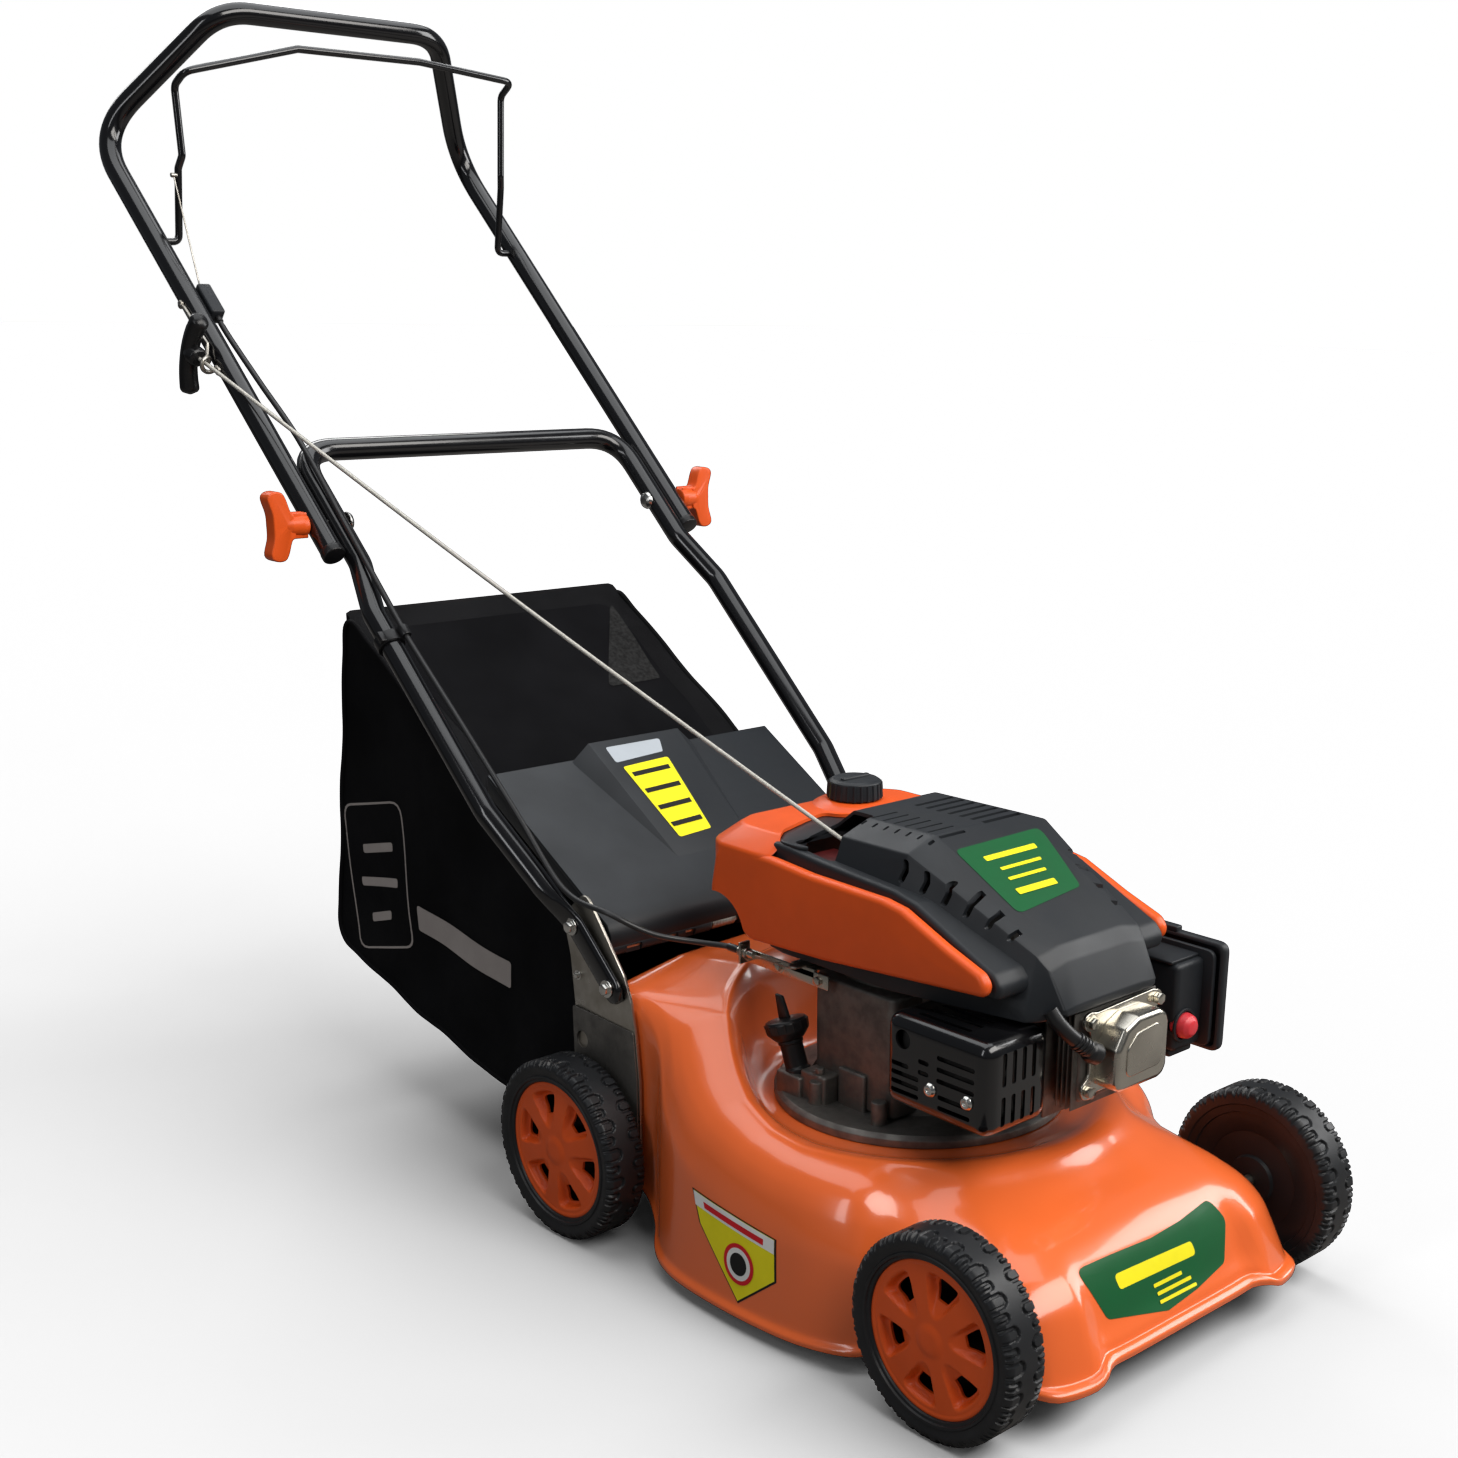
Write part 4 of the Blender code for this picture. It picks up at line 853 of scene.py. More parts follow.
def make_cover_mesh():
    """The coloured cover with six dished pockets and their windows, in the same place."""
    columns, radii = 240, np.r_[np.linspace(0.6, 12, 5), np.linspace(13.5, 61, 40),
                                np.linspace(61.8, 66.6, 5)]
    bm = bmesh.new()
    rows = []
    for r in radii:
        row = []
        for k in range(columns):
            a = 2 * math.pi * k / columns
            slot = (a % (math.pi / 3)) - math.pi / 6
            u, v = r * math.cos(slot), r * math.sin(slot)
            x = 235.2 - 1.6 * ease(r, 8, 16) - 1.9 * ease(r, 20, 62)
            inside = -pocket(u, v)
            x -= ease(inside, -0.8, 3.4) * (1.2 + 6.5 * ease(u, 22, 44))
            if r > 61:
                x = x - 0.4 + 0.9 * ease(r, 61.5, 62.3) * (1 - ease(r, 65.2, 66.6))
            row.append(bm.verts.new(Vector((x, r * math.cos(a), r * math.sin(a))) * MM))
        rows.append(row)
    bm.faces.new(rows[0])
    for a, b in zip(rows, rows[1:]):
        bridge(bm, a, b)
    mesh = mesh_from(bm, "cover")
    if max(mesh.polygons, key=lambda f: len(f.vertices)).normal.x < 0:
        mesh.flip_normals()
    obj = link("cover", mesh, "orange")
    thick(obj, 2.2)
    for k in range(6):
        middle = math.pi / 6 + k * math.pi / 3
        edge = []
        for t in np.linspace(0, 2 * math.pi, 48, endpoint=False):
            du, dv = math.cos(t), math.sin(t)
            low, high = 0.0, 30.0
            for _ in range(18):
                mid = (low + high) / 2
                if max(pocket(46 + du * mid, dv * mid) + 5.2, 35 - 46 - du * mid) < 0:
                    low = mid
                else:
                    high = mid
            u, v = 46 + du * low, dv * low
            edge.append((u * math.cos(middle) - v * math.sin(middle),
                         u * math.sin(middle) + v * math.cos(middle)))
        bm = bmesh.new()
        extrude(bm, [Vector((215, y, z)) * MM for y, z in edge], (25 * MM, 0, 0))
        cut(obj, link("window", mesh_from(bm, "window"), "orange"))
    soften(obj, 40)
    mesh = obj.data
    bpy.data.objects.remove(obj, do_unlink=True)
    return mesh


def make_wheels():
    wheel, cover = make_wheel_mesh(), make_cover_mesh()
    for tag, body, roll in (("front_right", "wheel_fr", 12), ("front_left", "wheel_fl", 25),
                            ("rear_right", "wheel_rr", 40), ("rear_left", "wheel_rl", 25)):
        _, y, z = JOINTS["wheel_%s_spin" % tag]["pos_m"]
        turn = Matrix.Translation((0, y, z)) @ Matrix.Rotation(math.radians(roll), 4, "X")
        if "right" in tag:
            turn = turn @ Matrix.Rotation(math.pi, 4, "Z")
        for name, mesh, mat, slot, node in (
                ("tyre_", wheel, "tyre", "wheel_plastic", "wheel_"),
                ("hub_cover_", cover, "orange", "orange_plastic", "wheel_cover_")):
            obj = link(name + tag, mesh.copy(), mat)
            obj.data.transform(turn)
            place(soften(obj, 40), body, slot, node + tag)


# ---------------------------------------------------------------- handle

SLOPE = math.radians(42.7)
FOOT_Y, FOOT_Z = 208.0, 249.0
KNOB_A = 562.0
PLANE_UP = Vector((0, -math.sin(SLOPE), math.cos(SLOPE)))


def leg_point(x, along, lift=0.0):
    """A point in the handle's plane: along the slope from the bracket bolt, lift above the plane."""
    y = FOOT_Y + along * math.cos(SLOPE) - lift * math.sin(SLOPE)
    return (x, y, FOOT_Z + along * math.sin(SLOPE) + lift * math.cos(SLOPE))


def dense(points, step):
    """The same path with points no further apart than step."""
    out = [tuple(points[0])]
    for a, b in zip(points, points[1:]):
        a, b = Vector(a), Vector(b)
        parts = max(1, round((b - a).length / step))
        out += [tuple(a.lerp(b, k / parts)) for k in range(1, parts + 1)]
    return out


def make_handles():
    shape = [(190.6, -16), (190.6, 70), (197.3, 98), (216, 205), (216, 445), (200, 508), (200, 656)]
    leg = [leg_point(x, a) for x, a in shape]
    path = dense(fillet(leg + list(reversed(mirrored(leg))), 42, 10), 6)
    foot = Vector(leg_point(0, 0))
    along = Vector((0, math.cos(SLOPE), math.sin(SLOPE)))

    def flat(i, count):
        a = (Vector(path[i]) - foot).dot(along)
        if a > 300:
            return 11.0, 11.0
        t = ease(a, 78, 118)
        end = math.sqrt(max(0.05, 1 - max(0.0, (-4 - a) / 12.5) ** 2)) if a < -4 else 1.0
        return (13.0 * (1 - t) + 11.0 * t) * end, 4.4 * (1 - t) + 11.0 * t

    handle = pipe("lower_handle_tube", path, 11.0, "gloss", 36, flat=flat, up=PLANE_UP)
    place(handle, "root", "black_enamel", "lower_handle")
    leg = [leg_point(222.3, 526), leg_point(222.3, 1101), (130, 908, 1118)]
    path = dense(fillet(leg + list(reversed(mirrored(leg))), 58, 14), 8)
    handle = pipe("upper_handle_tube", path, 11.0, "gloss", 36)
    plugs = [lathe("plug", rounded([(0, 529), (11.0, 529), (11.6, 526), (11.6, 520), (0, 519)], 1.5),
                   along, Vector(leg_point(side * 222.3, 0)), "smooth") for side in (-1, 1)]
    place(handle, "upper_handle_body", "black_enamel", "upper_handle")
    place(join(*plugs), "upper_handle_body", "black_plastic").name = "tube_plugs"


def hex_head(centre, axis, across, depth, mat="bolt", washer=0.0):
    """A hexagon bolt head or nut with a chamfered top and an optional washer under it."""
    u, v, w = frame_of(axis)
    r = across / math.sqrt(3)
    bm = bmesh.new()
    extrude(bm, [Vector(centre) + (u * math.cos(math.pi / 3 * k) + v * math.sin(math.pi / 3 * k)) * r
                 for k in range(6)], w * depth)
    head = bevelled(from_bmesh("head", bm, mat), 0.8, 2)
    if washer:
        ring = lathe("ring", rounded([(0, -1.4), (washer, -1.4), (washer, 0.1), (0, 0.1)], 0.6), axis,
                     centre, mat, 40)
        head = join(head, ring)
    return head


def make_fasteners():
    half = [(249, 10), (253, 14), (257.5, 27), (262, 32.5), (271, 32.5), (276, 27), (272, 12)]
    lobes = half + [(271.5, 0)] + [(x, -h) for x, h in reversed(half)]
    lobes = spline(lobes + lobes[:1], 60)[:-1]
    for tag, side in SIDES:
        for spot, along in (("low", 0), ("high", 70)):
            _, y, z = leg_point(0, along)
            name = "bracket_bolt_%s_%s" % (spot, tag)
            bolt = join(hex_head((side * 196.6, y, z), (side, 0, 0), 10, 4.4, washer=8.5),
                        rod("shank", (side * 182.4, y, z), (side * 197, y, z), 3.1, "bolt", 24),
                        hex_head((side * 182.2, y, z), (-side, 0, 0), 10, 4.0))
            bolt.name = name + "_look"
            place(bolt, "root", "bolt_steel", name)
        _, y, z = leg_point(0, KNOB_A)
        dome = rounded([(0, -5.2), (4.5, -5), (8, -3), (9.3, -0.4), (9.3, 0.6), (3.0, 0.6), (3.0, 62),
                        (0, 62)])
        place(lathe("handle_bolt_look_" + tag, dome, (side, 0, 0), (side * 188.4, y, z), "bolt"),
              "root", "bolt_steel", "handle_bolt_" + tag)
        wing = slab("knob_wing_" + tag, [(z + h, side * x) for x, h in lobes], "Y", y - 8, y + 8,
                    "orange", 3.6, 5)
        hub = lathe("hub", rounded([(0, 233.9), (10.5, 233.9), (11.3, 240), (10.2, 252), (8, 258),
                                    (0, 258)], 1.6), (side, 0, 0), (0, y, z), "orange")
        ribs = [box("rib", (side * 235, side * 251), (y - 1.1 + dy, y + 1.1 + dy),
                    (z - 12.2, z + 12.2), "orange", 0.8, 2) for dy in (-5, 0, 5)]
        place(fuse(wing, hub, *ribs), "knob_" + tag[0], "orange_plastic", "knob_" + tag)


def make_bail():
    foot = [(213.5, 905, 890.5), (197, 905, 890.5), (197, 893, 962), (194, 888, 974)]
    right = mirrored(foot) + [(-197, 886, 1040), (-197, 862, 1052), (-70, 862, 1084)]
    left = [(76, 862, 1084.5), (197, 864, 1074), (197, 886, 1060)] + list(reversed(foot))
    path = dense(fillet(right + left, 11, 6), 6)
    place(pipe("bail_rod", path, 3.7, "gloss", 20), "bail", "black_enamel", "bail_lever")


# ---------------------------------------------------------------- cable, starter cord and guide

GUIDE = leg_point(-243.0, 772, 1.0)
ENTRY = (-66.0, 30.0, 402.0)
SPAN = (Vector(GUIDE) - Vector(ENTRY)).length


def rope_point(distance):
    """A point on the rope's line, measured from the guide; positive is away from the engine."""
    a, b = Vector(GUIDE), Vector(ENTRY)
    return tuple(a + (a - b).normalized() * distance)


def cord_point(distance):
    """A point on the starter cord, which hangs a little below the straight line to its guide."""
    share = min(1.0, max(0.0, -distance / SPAN))
    return tuple(Vector(rope_point(distance)) - Vector((0, 0, 5.0 * math.sin(math.pi * share))))


def bend(obj, slot, node, a, b, start, end):
    """A piece that stands for a node: hide the node and bake the piece's transform into its mesh. a, b,
    start and end are not used.
    """
    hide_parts(node)
    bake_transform(obj)


def tilted(obj, centre):
    """Turn a piece made round the origin into the handle's slope, and move it to centre."""
    obj.data.transform(Matrix.Translation(point(*centre)) @ Matrix.Rotation(SLOPE, 4, "X")
                       @ Matrix.Translation(-point(0, 0, 0)))
    return obj


def make_cable():
    cable = [leg_point(-202.5, 849), leg_point(-202.5, 815), leg_point(-203, 740, 8),
             leg_point(-203, 655, 17), leg_point(-205, 540, 17), leg_point(-205.5, 425, 15.2),
             leg_point(-205.5, 397, 14.9), leg_point(-203, 290, 18), leg_point(-199, 190, 18),
             leg_point(-196, 100, 19), (-187, 212, 318), (-160, 184, 300), (-127, 160, 291),
             (-109, 138, 288.3), (-108, 122, 288), (-108, 108, 288)]
    jacket = join(pipe("brake_cable_jacket", spline(cable, 220), 2.7, "cable", 16),
                  rod("end", leg_point(-202.5, 832), leg_point(-202.5, 850.5), 3.5, "smooth", 24, 0.5),
                  rod("end", (-109, 138, 288.3), (-108, 124, 288), 3.6, "smooth", 24, 0.5))
    bend(jacket, "cable_jacket", "brake_cable", "root", "upper_handle_body", leg_point(-205, 440),
         leg_point(-205, 690))
    line = [leg_point(-202.5, 848), leg_point(-202.5, 884), (-202.6, 893, 955)]
    wire = join(pipe("brake_inner_wire", dense(line, 6), 0.8, "zinc", 10),
                rod("nipple", (-205.6, 893, 955), (-199, 893, 955), 2.4, "bolt", 20, 0.4))
    bend(wire, "zinc_steel", "brake_wire", "upper_handle_body", "bail", (-202.5, 880, 868),
         (-202.6, 893, 950))
    stop = tilted(box("cable_stop_look", (-8, 7), (-20, 20), (-9, 9), "plastic", 2.6, 4),
                  leg_point(-203.0, 858))
    cut(stop, rod("cut", leg_point(-202.5, 830), leg_point(-202.5, 850), 3.7),
        rod("cut", leg_point(-202.5, 845), leg_point(-202.5, 885), 1.4))
    place(stop, "upper_handle_body", "black_plastic", "cable_stop")

    along = Vector(leg_point(0, 1)) - Vector(leg_point(0, 0))
    ring = rounded([(11.3, 405), (14, 405), (14, 417), (11.3, 417)], 0.8)
    band = lathe("cable_clip_look", [(11.3, 405.5)] + ring[1:-1] + [(11.3, 416.5), (11.3, 405.5)], along,
                 Vector(leg_point(-216, 0)), "smooth", 48)
    eye = lathe("eye", [(3.0, 405.5), (5.0, 405.5), (5.4, 407), (5.4, 415), (5.0, 416.5), (3.0, 416.5),
                        (3.0, 405.5)], along, Vector(leg_point(-205.5, 0, 15)), "smooth", 32)
    tooth = tilted(box("tooth", (-3, 3), (-5.5, 5.5), (-3.2, 3.2), "smooth", 0.8, 2),
                   leg_point(-228, 411, 9))
    place(join(band, eye, tooth), "root", "black_plastic", "cable_clip")


def make_rope():
    along = (Vector(GUIDE) - Vector(ENTRY)).normalized()
    inner = (Vector((1, 0, 0)) - along * along.x).normalized()
    over = along.cross(inner)
    loop = []
    for k in range(43):
        a = math.radians(28 / 3 * k)
        loop.append(Vector(rope_point(-5 + 0.3 * k)) + (inner * math.cos(a) + over * math.sin(a)) * 6.6)
    start = [leg_point(-227, 765), leg_point(-235, 765)]
    end = [leg_point(-236, 794, 8), leg_point(-236, 848, 4), leg_point(-235.5, 856),
           leg_point(-227, 856)]
    wire = pipe("rope_guide_wire", dense(fillet(start + loop, 4, 3) + fillet(end, 7, 5), 3), 2.0,
                "zinc", 16)
    nuts = [hex_head(leg_point(-233.4, a), (-1, 0, 0), 8, 3.2) for a in (765, 856)]
    place(join(wire, *nuts), "upper_handle_body", "zinc_steel", "rope_guide")

    line = [cord_point(12 - (SPAN + 42) * t) for t in np.linspace(0, 1, 260)]
    bend(pipe("starter_cord", line, 1.9, "rope", 16), "starter_cord", "starter_rope", "root",
         "upper_handle_body", rope_point(-SPAN * 0.75), rope_point(-60))
    # The length that the grip draws out: at rest it lies inside the cord's end at the guide.
    line = [cord_point(81 * t - 58) for t in np.linspace(0, 1, 120)]
    bend(pipe("starter_cord_drawn", line, 1.8, "rope", 16), "starter_cord", "rope_core",
         "upper_handle_body", "starter", rope_point(-56), rope_point(11))

    across = along.cross(Vector((1, 0, 0))).normalized()
    spots = [Vector(rope_point(28 - 10 * t * t)) + across * 42 * t for t in np.linspace(-1, 1, 41)]

    def fat(i, count):
        t = -1 + 2 * i / (count - 1)
        end = math.sqrt(max(0.02, 1 - max(0.0, (abs(t) - 0.86) / 0.14) ** 2))
        r = (8.8 + 1.2 * t * t) * end
        return r, r * 0.95

    grip = pipe("starter_handle", spots, 8.0, "smooth", 32, flat=fat)
    stem = rounded([(0, 12.5), (8, 12.5), (10, 15), (10, 22), (8.4, 28), (0, 28)], 1.6)
    place(join(grip, lathe("stem", stem, along, GUIDE, "smooth")), "starter", "black_plastic",
          "starter_grip")


# ---------------------------------------------------------------- brackets, flap and bag

def make_brackets():
    outline = loop_of([(251, 330), (286, 300), (276, 262), (271, 215), (274, 78), (225, 76), (176, 84),
                       (176, 165), (180, 205), (186, 238), (196, 262)], 12, 5)
    lower = loop_of([(273, 214), (182, 211), (177.5, 165), (178, 100), (226, 92), (271, 100)], 3)
    slot = [(214, 120), (252, 112), (254, 124), (216, 132)]
    for tag, side in SIDES:
        sheet = slab("bracket_look_" + tag, outline, "X", side * 182.3, side * 185.3, "zinc", 0.5, 2)
        cut(sheet, rod("cut", (side * 178, 243.5, 87.5), (side * 190, 243.5, 87.5), 6.4),
            slab("cut", loop_of(slot, 6, 5), "X", side * 179.3, side * 188.3))
        plate = slab("bracket_plate_" + tag, lower, "X", side * 185.5, side * 187.2, "cast", 0.5, 2)
        cut(plate, rod("cut", (side * 180, 259, 183), (side * 190, 259, 183), 8.5),
            slab("cut", loop_of(slot, 6), "X", side * 182.5, side * 190.2))
        place(plate, "root", "zinc_steel")
        place(hex_head((side * 185.4, 266, 245), (side, 0, 0), 6, 3, washer=5), "root",
              "zinc_steel").name = "bracket_screw_" + tag
        collar = lathe("collar", rounded([(6.6, 0), (13, 0), (13, 5.5), (6.6, 5.5)]), (side, 0, 0),
                       (side * 185.3, 243.5, 87.5), "zinc")
        place(join(sheet, collar), "root", "zinc_steel", "bracket_" + tag)


FLAP = (229.0, 277.0)


def make_flap():
    line = [(223, 280), (222.5, 292), (228, 302), (240, 309), (411, 409), (413, 405.5), (241, 305),
            (231, 299.5), (226, 291), (227, 280)]
    panel = slab("flap_panel", line, "X", -178, 178, "plastic", 0.8, 2)
    barrels = [rod("barrel", (x0, *FLAP), (x1, *FLAP), 6.6, "plastic", 32, 0.6)
               for x0, x1 in ((-177.8, -57), (-22, 22), (57, 177.8))]
    spans = [((side * x0, side * x1), (214, 226), (268, 279)) for side in (-1, 1)
             for x0, x1 in ((142, 160), (99, 118), (78, 90))]
    barrels = [cut(join(*barrels), boxes("cut", spans))]
    skirt = [(226, 281), (240, 306.5), (411, 406.5), (413, 390), (262, 301), (240, 282)]
    barrels += [slab("skirt", skirt, "X", side * 174.9, side * 177.6, "plastic", 0.6, 2)
                for side in (-1, 1)]
    pod = hull("pod", [(-84, 409, 404), (76, 409, 404), (-60, 408, 424), (54, 408, 424),
                       (-50, 262, 319.5), (44, 262, 319.5), (-84, 405, 402), (76, 405, 402),
                       (-50, 262, 317.5), (44, 262, 317.5)], "plastic", 3.0, 4)
    place(rod("hinge_rod", (-183.4, *FLAP), (183.4, *FLAP), 3.5, "zinc", 24, 0.6), "root",
          "zinc_steel", "flap_rod")
    springs = []
    for side in (-1, 1):
        turns = []
        for k in range(15 * 14 + 1):
            a = math.pi * k / 7
            turns.append((side * (27 + k / 14 * 1.9), FLAP[0] + 5.2 * math.cos(a),
                          FLAP[1] + 5.2 * math.sin(a)))
        springs.append(pipe("flap_springs", turns, 0.85, "zinc", 8))
    place(join(*springs), "root", "zinc_steel")
    flap = place(join(panel, pod, *barrels), "flap", "black_plastic", "rear_flap")
    rows = [("flap_label_plain", loop_of([(-45, 400), (24, 400), (17, 382), (-45, 378)], 3), "silver"),
            ("flap_label", loop_of([(-41, 371), (18, 374), (8, 273), (-34, 270)], 3), "yellow")]
    for k in range(4):
        v = 362 - 24 * k
        rows.append(("flap_label_line_%d" % k, [(-36 + k, v), (12 - 2 * k, v + 2), (11.6 - 2 * k, v - 4),
                                                (-35.6 + k, v - 6)], "ink"))
    labels("flap", "black_plastic", tree_of(flap), lambda u, v: (u, v, 420), (0, 0.35, -0.94), rows)


BAG_X = 171.0


def bag_ring(x):
    """The bag's sagging outline in a plane across X, from the front's lower edge upwards."""
    corners = [(262, 84), (262, 283), (666, 534), (723, 170), (412, 84)]
    middle = 1 - (abs(x) / BAG_X) ** 4
    out = []
    for side, count in enumerate((26, 64, 52, 52, 24)):
        (y0, z0), (y1, z1) = corners[side], corners[(side + 1) % 5]
        length = math.hypot(y1 - y0, z1 - z0)
        for t in np.linspace(0, 1, count, endpoint=False):
            y, z = y0 + (y1 - y0) * t, z0 + (z1 - z0) * t
            top = -7 * middle - 1.6 * math.sin(y * 0.055 + x * 0.02)
            back = 5 * middle + 2.2 * math.sin(z * 0.05 + x * 0.017)
            under = 6 + 2.0 * math.sin(y * 0.06 - x * 0.03)
            push = 4 * t * (1 - t) * (0, top, back, under, 0)[side] / length
            out.append((y - (z1 - z0) * push, z + (y1 - y0) * push))
    return out


def make_bag():
    """A sewn fabric bag: one strip over top, back and bottom, two side panels, piped seams."""
    middle = np.array((470.0, 270.0))
    rows = []
    for x in np.linspace(-BAG_X, BAG_X, 64):
        ring = np.array(bag_ring(x))
        away = ring - middle
        pull = 2.6 * max(0.0, 1 - (BAG_X - abs(x)) / 7) ** 2
        ring -= away / np.linalg.norm(away, axis=1)[:, None] * pull
        rows.append([(x, y, z) for y, z in ring])
    strip = [row[25:] + row[:1] for row in rows]
    bag = surface_grid("bag_strip", strip, "cloth", uv_size=(1250, 342), angle=60)
    for out, row in ((-1, rows[0]), (1, rows[-1])):
        panel = []
        for t in np.linspace(1, 0, 26):
            arch = math.sin(math.pi * t)
            line = []
            for x, *spot in row:
                y, z = middle + (np.array(spot) - middle) * t
                bulge = 1.8 * math.sin(y * 0.045 + z * 0.03) * arch ** 0.5 - 3.5 * arch
                line.append((x + out * (bulge - 0.4), y, z))
            panel.append(line)
        bag = join(bag, surface_grid("side", panel, "cloth", closed=True, uv_size=(1250, 300)))
    weld(bag, 0.0006)
    place(thick(bag, 1.2), "catcher", "bag_fabric", "catcher_bag")
    for (tag, out), row in zip(SIDES, (rows[0], rows[-1])):
        seam = [(x + out * 0.4, y, z) for x, y, z in row]
        seam = spline(seam[::4] + seam[:1], 420)[:-1]
        place(pipe("bag_piping_" + tag, seam, 2.6, "cloth", 12, closed=True), "catcher", "bag_fabric")
    make_bag_marks(tree_of(bag))
    x = 163.0
    ring = fillet([(-x, 268, 93), (-x, 268, 274), (x, 268, 274), (x, 268, 93)], 22, 6, closed=True)
    half = [(-x, 268, 240), (-x, 300, 284), (-x, 650, 503)]
    hoop = fillet(half + list(reversed(mirrored(half))), 26, 6)
    wire = join(pipe("bag_frame", dense(ring + ring[:1], 10)[:-1], 4.0, "zinc", 16, closed=True),
                pipe("hoop", dense(hoop, 10), 4.0, "zinc", 16))
    place(wire, "catcher", "zinc_steel", "catcher_frame")


def make_bag_marks(tree):
    """The netting in the bag's top, with a painted patch of light in one corner, and a plain framed mark on
    its side.
    """
    rows = [("bag_mesh_panel", loop_of([(-140, 420), (140, 420), (146, 640), (-146, 640)], 20), "net"),
            # a lighter patch of netting in one corner: painted light
            ("bag_mesh_light", loop_of([(148, 641), (135, 533), (63, 532)], 4), "painted_light_net")]
    labels("catcher", "bag_fabric", tree, lambda u, v: (u, v, 283 + (v - 262) * 0.621),
           (0, 0.53, -0.85), rows, step=0.6)
    edge = [(697, 324), (591, 347), (576, 190), (685, 163)]
    field = [(637 + (u - 637) * 0.955, 256 + (v - 256) * 0.97) for u, v in edge]
    rows = [("bag_mark_edge", loop_of(edge, 16), "grey"), ("bag_mark_field", loop_of(field, 14), "cloth")]
    for k, wide in enumerate((26, 34, 20)):
        v = 292 - 38 * k
        rows.append(("bag_mark_bar_%d" % k, loop_of([(637 + wide, v - 6), (637 - wide, v + 6),
                                                     (637 - wide, v - 4), (637 + wide, v - 16)], 3),
                     "grey"))
    rows.append(("bag_mark_line", loop_of([(564, 241), (400, 219), (404, 190), (564, 213)], 4), "grey"))
    labels("catcher", "bag_fabric", tree, lambda u, v: (-190, u, v), (1, 0, 0), rows)


# ---------------------------------------------------------------- engine

def make_crankcase():
    cx, cy = DECK_C
    wall = rounded([(14, 160.3), (135, 160.3), (135, 167.5), (131, 171.2), (88, 171.2), (80.5, 176),
                    (80, 286), (77, 290), (74, 290), (74, 176), (14, 176), (14, 160.3)], 1.5)
    flat = loop_of([(-92, -60), (-92, 38), (-62, 62), (-30, 40), (-30, -60)], 10, 5)
    pieces = [lathe("crankcase", wall, "Z", (cx, cy, 0), "cast", 128),
              box("neck", (-44, 60), (-88, -50), (190, 288), "cast", 3),
              slab("flat", flat, "Z", 172, 284, "cast", 3)]
    for a in (168, 205, 250, 300, 20, 92, 130):
        out = Vector((math.cos(math.radians(a)), math.sin(math.radians(a)), 0))
        spot = Vector((cx, cy, 168)) + out * 112
        top = spot + Vector((0, 0, 24 if a in (205, 250, 168) else 14))
        pieces.append(rod("boss", spot, top, 7.4, "cast", 32, 0.8, end_radius=6.8))
        if top.z < 190:
            pieces.append(hex_head(top, (0, 0, 1), 10, 5, washer=7.4))
        foot = Vector((cx, cy, 170)) + out * 80
        across = Vector((-out.y, out.x, 0)) * 1.6
        rib = [foot + across, foot - across]
        rib += [p + out * 26 for p in rib] + [p + Vector((0, 0, 44)) for p in rib]
        pieces.append(hull("rib", rib, "cast", 0.8, 2))
    pieces += [box("foot", (-114, -86), (36, 68), (168, 190), "cast", 2.5),
               box("step", (-110, -84), (8, 40), (168, 197), "cast", 2.5),
               box("ledge", (-96, -86), (-28, 6), (168, 206), "cast", 2.5),
               hex_head((-104, 20, 197), (0, 0, 1), 8, 5.5, "zinc", washer=6.5)]
    place(join(*pieces), "root", "cast_aluminium", "engine_base")


def make_cylinder():
    core = box("core", (-30, 48), (-196, -88), (214, 292), "cast", 4)
    fins = [box("fin", (-44, 62), (y, y + 2.6), (203, 300), "cast", 1.0, 2) for y in range(-190, -86, 13)]
    head = box("head", (-34, 64), (-219, -197), (222, 298), "cast", 4)
    fins += [box("head_fin", (-40, 68), (-216 + 5.2 * k, -214.4 + 5.2 * k), (216, 302), "cast", 0.8, 2)
             for k in range(4)]
    place(join(core, head, *fins), "root", "cast_aluminium", "cylinder")


def make_valve_cover():
    dee = loop_of([(236, -17), (242, -19), (272, -19), (290, -8), (297, 8), (297, 38), (292, 46),
                   (284, 49), (244, 49), (237, 45), (234, 38), (234, -10)], 9)
    inner = loop_of([(246, -8), (272, -8), (284, 4), (287, 32), (279, 39), (248, 39)], 8, 5)
    rim = loop_of([(226, -34), (224, -22), (229, -16), (229, 48), (226, 56), (228, 64), (238, 66),
                   (250, 58), (285, 58), (292, 68), (301, 66), (304, 56), (301, -18), (303, -28),
                   (300, -35), (291, -36), (284, -26), (246, -26), (238, -36)], 8, 5)
    bolts = [hex_head((x, -223.2, z), (0, -1, 0), 9.5, 6.0, washer=7.6)
             for x, z in ((-28, 294), (60, 295), (-28, 233), (58, 235))]
    cover = join(slab("valve_cover_look", dee, "Y", -247, -220, "plated", 6.5, 7),
                 slab("raised", inner, "Y", -248.2, -240, "plated", 1.1, 3),
                 slab("rim", rim, "Y", -223.2, -219.6, "plated", 1.0, 3), *bolts)
    place(cover, "root", "plated_steel", "valve_cover")


